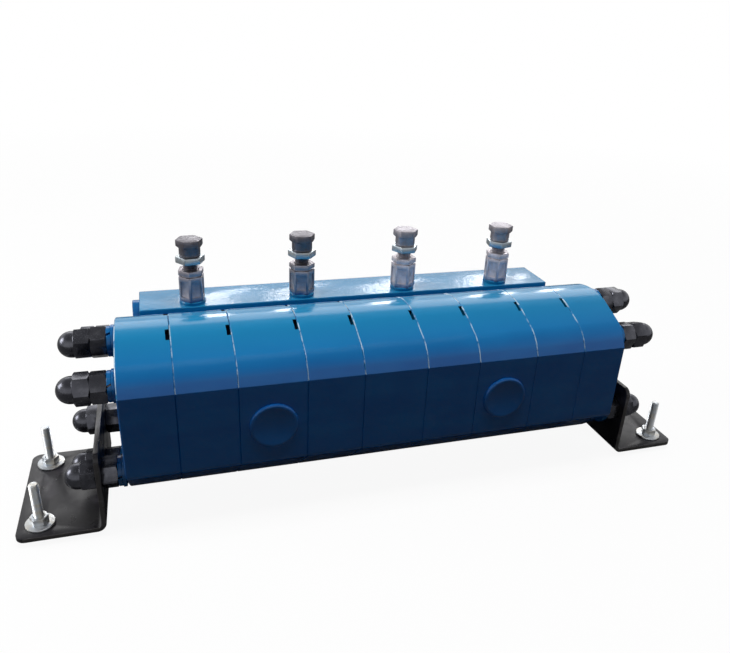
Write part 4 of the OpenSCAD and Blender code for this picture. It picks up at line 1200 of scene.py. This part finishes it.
@dataclass
class Studio:
    """Pale floor, soft light and the camera of the photograph."""

    camera_place: tuple[float, float, float] = (-0.18987, -0.58518, 0.41545)
    yaw: float = 17.727
    pitch: float = 24.490
    roll: float = -2.728
    focal_px: float = 690.82
    width_px: float = 730.0
    sensor_mm: float = 36.0
    floor_share: float = 0.93
    # place along X and width of each rear window
    windows: tuple[Point, ...] = ((0.0, 0.1), (0.29, 0.09), (0.72, 0.15), (1.19, 0.2), (1.48, 0.1))

    def camera(self) -> None:
        """Set the camera where the photograph was taken from."""
        yaw, pitch, roll = (math.radians(a) for a in (self.yaw, self.pitch, self.roll))
        forward = Vector((math.sin(yaw) * math.cos(pitch), math.cos(yaw) * math.cos(pitch), -math.sin(pitch)))
        right = Vector((math.cos(yaw), -math.sin(yaw), 0))
        down = forward.cross(right)
        x_axis = math.cos(roll) * right + math.sin(roll) * down
        y_axis = math.sin(roll) * right - math.cos(roll) * down
        data = bpy.data.cameras.new("photo_camera")
        data.sensor_width = self.sensor_mm
        data.lens = self.focal_px / self.width_px * self.sensor_mm
        data.clip_start, data.clip_end = 0.01, 50
        camera = bpy.data.objects.new("photo_camera", data)
        rotation = Matrix((x_axis, y_axis, -forward)).transposed().to_4x4()
        camera.matrix_world = Matrix.Translation(self.camera_place) @ rotation
        bpy.context.scene.collection.objects.link(camera)
        bpy.context.scene.camera = camera

    def lamp(self, name: str, place: Sequence[float], target: Sequence[float], size: Sequence[float],
             radiance: float, use: Use = Use.BOTH) -> None:
        """Hang one soft box, aimed at a point.

        Args:
            name: The lamp's name.
            place: Where it hangs, in metres.
            target: The point that it faces.
            size: Its width and height, in metres.
            radiance: How bright its face looks, where 1 is white.
            use: Whether it lights surfaces, is mirrored in them, or both.
        """
        data = bpy.data.lights.new(name, "AREA")
        data.shape = "RECTANGLE"
        data.size, data.size_y = size
        data.energy = radiance * math.pi * size[0] * size[1]
        lamp = bpy.data.objects.new(name, data)
        direction = Vector(target) - Vector(place)
        turn = direction.to_track_quat("-Z", "Y").to_matrix().to_4x4()
        lamp.matrix_world = Matrix.Translation(place) @ turn
        lamp.visible_glossy = use is not Use.LIGHT
        lamp.visible_diffuse = use is not Use.MIRRORED
        bpy.context.scene.collection.objects.link(lamp)

    def rays(self, tree: Tree) -> tuple[Socket, Socket]:
        """Give the share of camera rays, and of rays that a mirror or glass sends on."""
        path = add_node(tree, "LightPath")
        sent_on = (path.outputs["Is Glossy Ray"], path.outputs["Is Transmission Ray"])
        mirrored = add_node(tree, "Math", sent_on, operation="MAXIMUM").outputs[0]
        return path.outputs["Is Camera Ray"], mirrored

    def floor(self) -> None:
        """Lay a pale floor that keeps the object's shadow."""
        bpy.ops.object.select_all(action="DESELECT")
        bpy.ops.mesh.primitive_plane_add(size=24)
        plane = bpy.context.object
        plane.name = "studio_floor"
        material = bpy.data.materials.new("studio_floor_pale")
        material.use_nodes = True
        tree = material.node_tree
        tree.nodes.clear()
        camera, mirrored = self.rays(tree)
        # near the object the floor is cloth that keeps the shadow, far off it fades into the backdrop
        place = add_node(tree, "TexCoord").outputs["Object"]
        reach = add_node(tree, "VectorMath", (place,), operation="LENGTH").outputs["Value"]
        far = add_node(tree, "MapRange", (reach, 0.6, 2.2, self.floor_share, 1.0)).outputs["Result"]
        seen = add_node(tree, "Math", (camera, far), operation="MULTIPLY").outputs[0]
        greys = {0: mirrored, 6: linear("#5c5c5c"), 7: linear("#808080")}
        dim = add_node(tree, "Mix", greys, data_type="RGBA").outputs[2]
        pale = add_node(tree, "Mix", {0: camera, 6: dim, 7: linear("#f2f2f2")}, data_type="RGBA").outputs[2]
        cloth = add_node(tree, "BsdfDiffuse", {"Color": pale})
        white = add_node(tree, "Emission", {"Color": (1, 1, 1, 1), "Strength": 1.0})
        mixed = add_node(tree, "MixShader", (seen, cloth.outputs[0], white.outputs[0]))
        add_node(tree, "OutputMaterial", {"Surface": mixed.outputs[0]})
        plane.data.materials.append(material)

    def world(self) -> None:
        """Surround the scene with an even white that lights it only softly."""
        world = bpy.data.worlds.new("studio_white")
        bpy.context.scene.world = world
        world.use_nodes = True
        tree = world.node_tree
        tree.nodes.clear()
        camera, mirrored = self.rays(tree)
        # mirrored rays see the white backdrop up to its rim, and the dim ceiling over it
        direction = add_node(tree, "TexCoord").outputs["Generated"]
        height = add_node(tree, "SeparateXYZ", (direction,)).outputs["Z"]
        ceiling = add_node(tree, "MapRange", (height, 0.5, 0.85, 1.0, 0.3)).outputs["Result"]
        mirrored = add_node(tree, "Math", (mirrored, ceiling), operation="MULTIPLY").outputs[0]
        seen = add_node(tree, "Math", (camera, mirrored), operation="MAXIMUM").outputs[0]
        strength = add_node(tree, "MapRange", {"Value": seen, "To Min": 0.05, "To Max": 1.0}).outputs[0]
        back = add_node(tree, "Background", {"Color": (1, 1, 1, 1), "Strength": strength})
        add_node(tree, "OutputWorld", {"Surface": back.outputs[0]})

    def build(self) -> None:
        """Set up camera, lamps, world and floor."""
        bpy.context.scene.view_settings.view_transform = "Standard"
        self.camera()
        # the main light falls from straight above, so that the front stays in its own shade
        self.lamp("overhead_box", (0.0, -0.1, 2.0), (0, -0.05, 0.1), (1.8, 0.7), 8.3, Use.LIGHT)
        # a pale wall behind with a row of bright windows, which the crown and the valve block mirror
        self.lamp("rear_wall", (0.5, 2.2, 1.45), (0.0, 0.0, 0.15), (3.6, 0.95), 1.7)
        for number, (x, width) in enumerate(self.windows, 1):
            self.lamp(f"rear_window_{number}", (x, 2.0, 0.85), (x, 0.0, 0.15), (width, 0.3), 12.0, Use.MIRRORED)
        # a small lamp to the left lights the nuts and the foot at that end
        self.lamp("end_box", (-1.7, 0.3, 0.8), (-0.2, 0.0, 0.1), (0.7, 0.7), 9.0)
        self.world()
        self.floor()


def main() -> None:
    """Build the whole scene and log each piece."""
    logging.basicConfig(level=logging.INFO, format="%(message)s")
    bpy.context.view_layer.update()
    Studio().build()
    # the plates' enamel turns paler and greener over the crown: painted sheen
    plate_enamel = Enamel("plate_enamel_gloss", sheen_tint="#1480b0", sheen_from_mm=138, sheen_to_mm=168).material()
    # dark coat on the pry slot walls: painted shade in the slots
    slot_shade_coat = BlackOxide("slot_painted_shade", "#14182a", "#1c2236", 0.6).material()
    # the pale rim coat is a painted highlight along the seams
    PlateStack().build(plate_enamel, slot_shade_coat, SeamHighlightRim().material())
    thin_enamel = Enamel("washer_enamel_thin", "#0f6aa8", "#0b568f", 2.0, 0.012).material()
    TieRodHardware().build(thin_enamel, BlackOxide("nut_black_oxide").material())
    cut_edge = BlackPaint("bracket_cut_edge", "#4a4848", "#77757a").material()
    Feet().build(BlackPaint("bracket_paint").material(), cut_edge, Zinc("foot_zinc_bright").material())
    # the block's enamel turns paler and greener on its top face: painted sheen
    block_enamel = Enamel("block_enamel_peeled", "#0c5fac", "#0a559f", 3.4, 0.22, 0.04,
                          "#1379a8", 146, 147.6).material()
    Manifold().build(block_enamel, thin_enamel, BlackOxide("screw_black_oxide").material())
    cap_enamel = Enamel("cap_enamel_gloss", "#0d64b0", "#0a58a2", 2.6, 0.012).material()
    for number in (1, 2):
        InletCap().build(number, cap_enamel)
    # the two right-hand valves take a paler copy of the steel and the left ones a darker copy: painted light and
    # shade for light that falls more on the right
    shaded_steels = (MachinedSteel("valve_steel_painted_shade", "#a8a3a8", "#928d92", 0.48, 0.5, 155.5).material(),
            MachinedSteel("adjuster_steel_painted_shade", "#79767c", "#636066", 0.45, 0.4).material())
    bright = (MachinedSteel("valve_steel_painted_light", "#d4ced2", "#bcb6ba", 0.6, 0.5, 155.5).material(),
              MachinedSteel("adjuster_steel_painted_light", "#aaa6ac", "#928e94", 0.5, 0.4).material())
    nut_zinc = Zinc("lock_nut_zinc_blue", "#b9c3ca", "#c0c3c1", 0.36).material()
    # each valve's number, and how far its body, nut and head were turned when they were tight
    for number, *turns in ((1, 19, 6, 6), (2, 46, 53, 59), (3, 36, 0, 49), (4, 14, 18, 37)):
        # the left valves get the painted-shade copies of the steel, the right ones the painted-light copies
        ReliefValve(number, *turns).build(*(shaded_steels if number < 3 else bright), nut_zinc)
    InnerWorks().build()


if __name__ == "__main__":
    main()
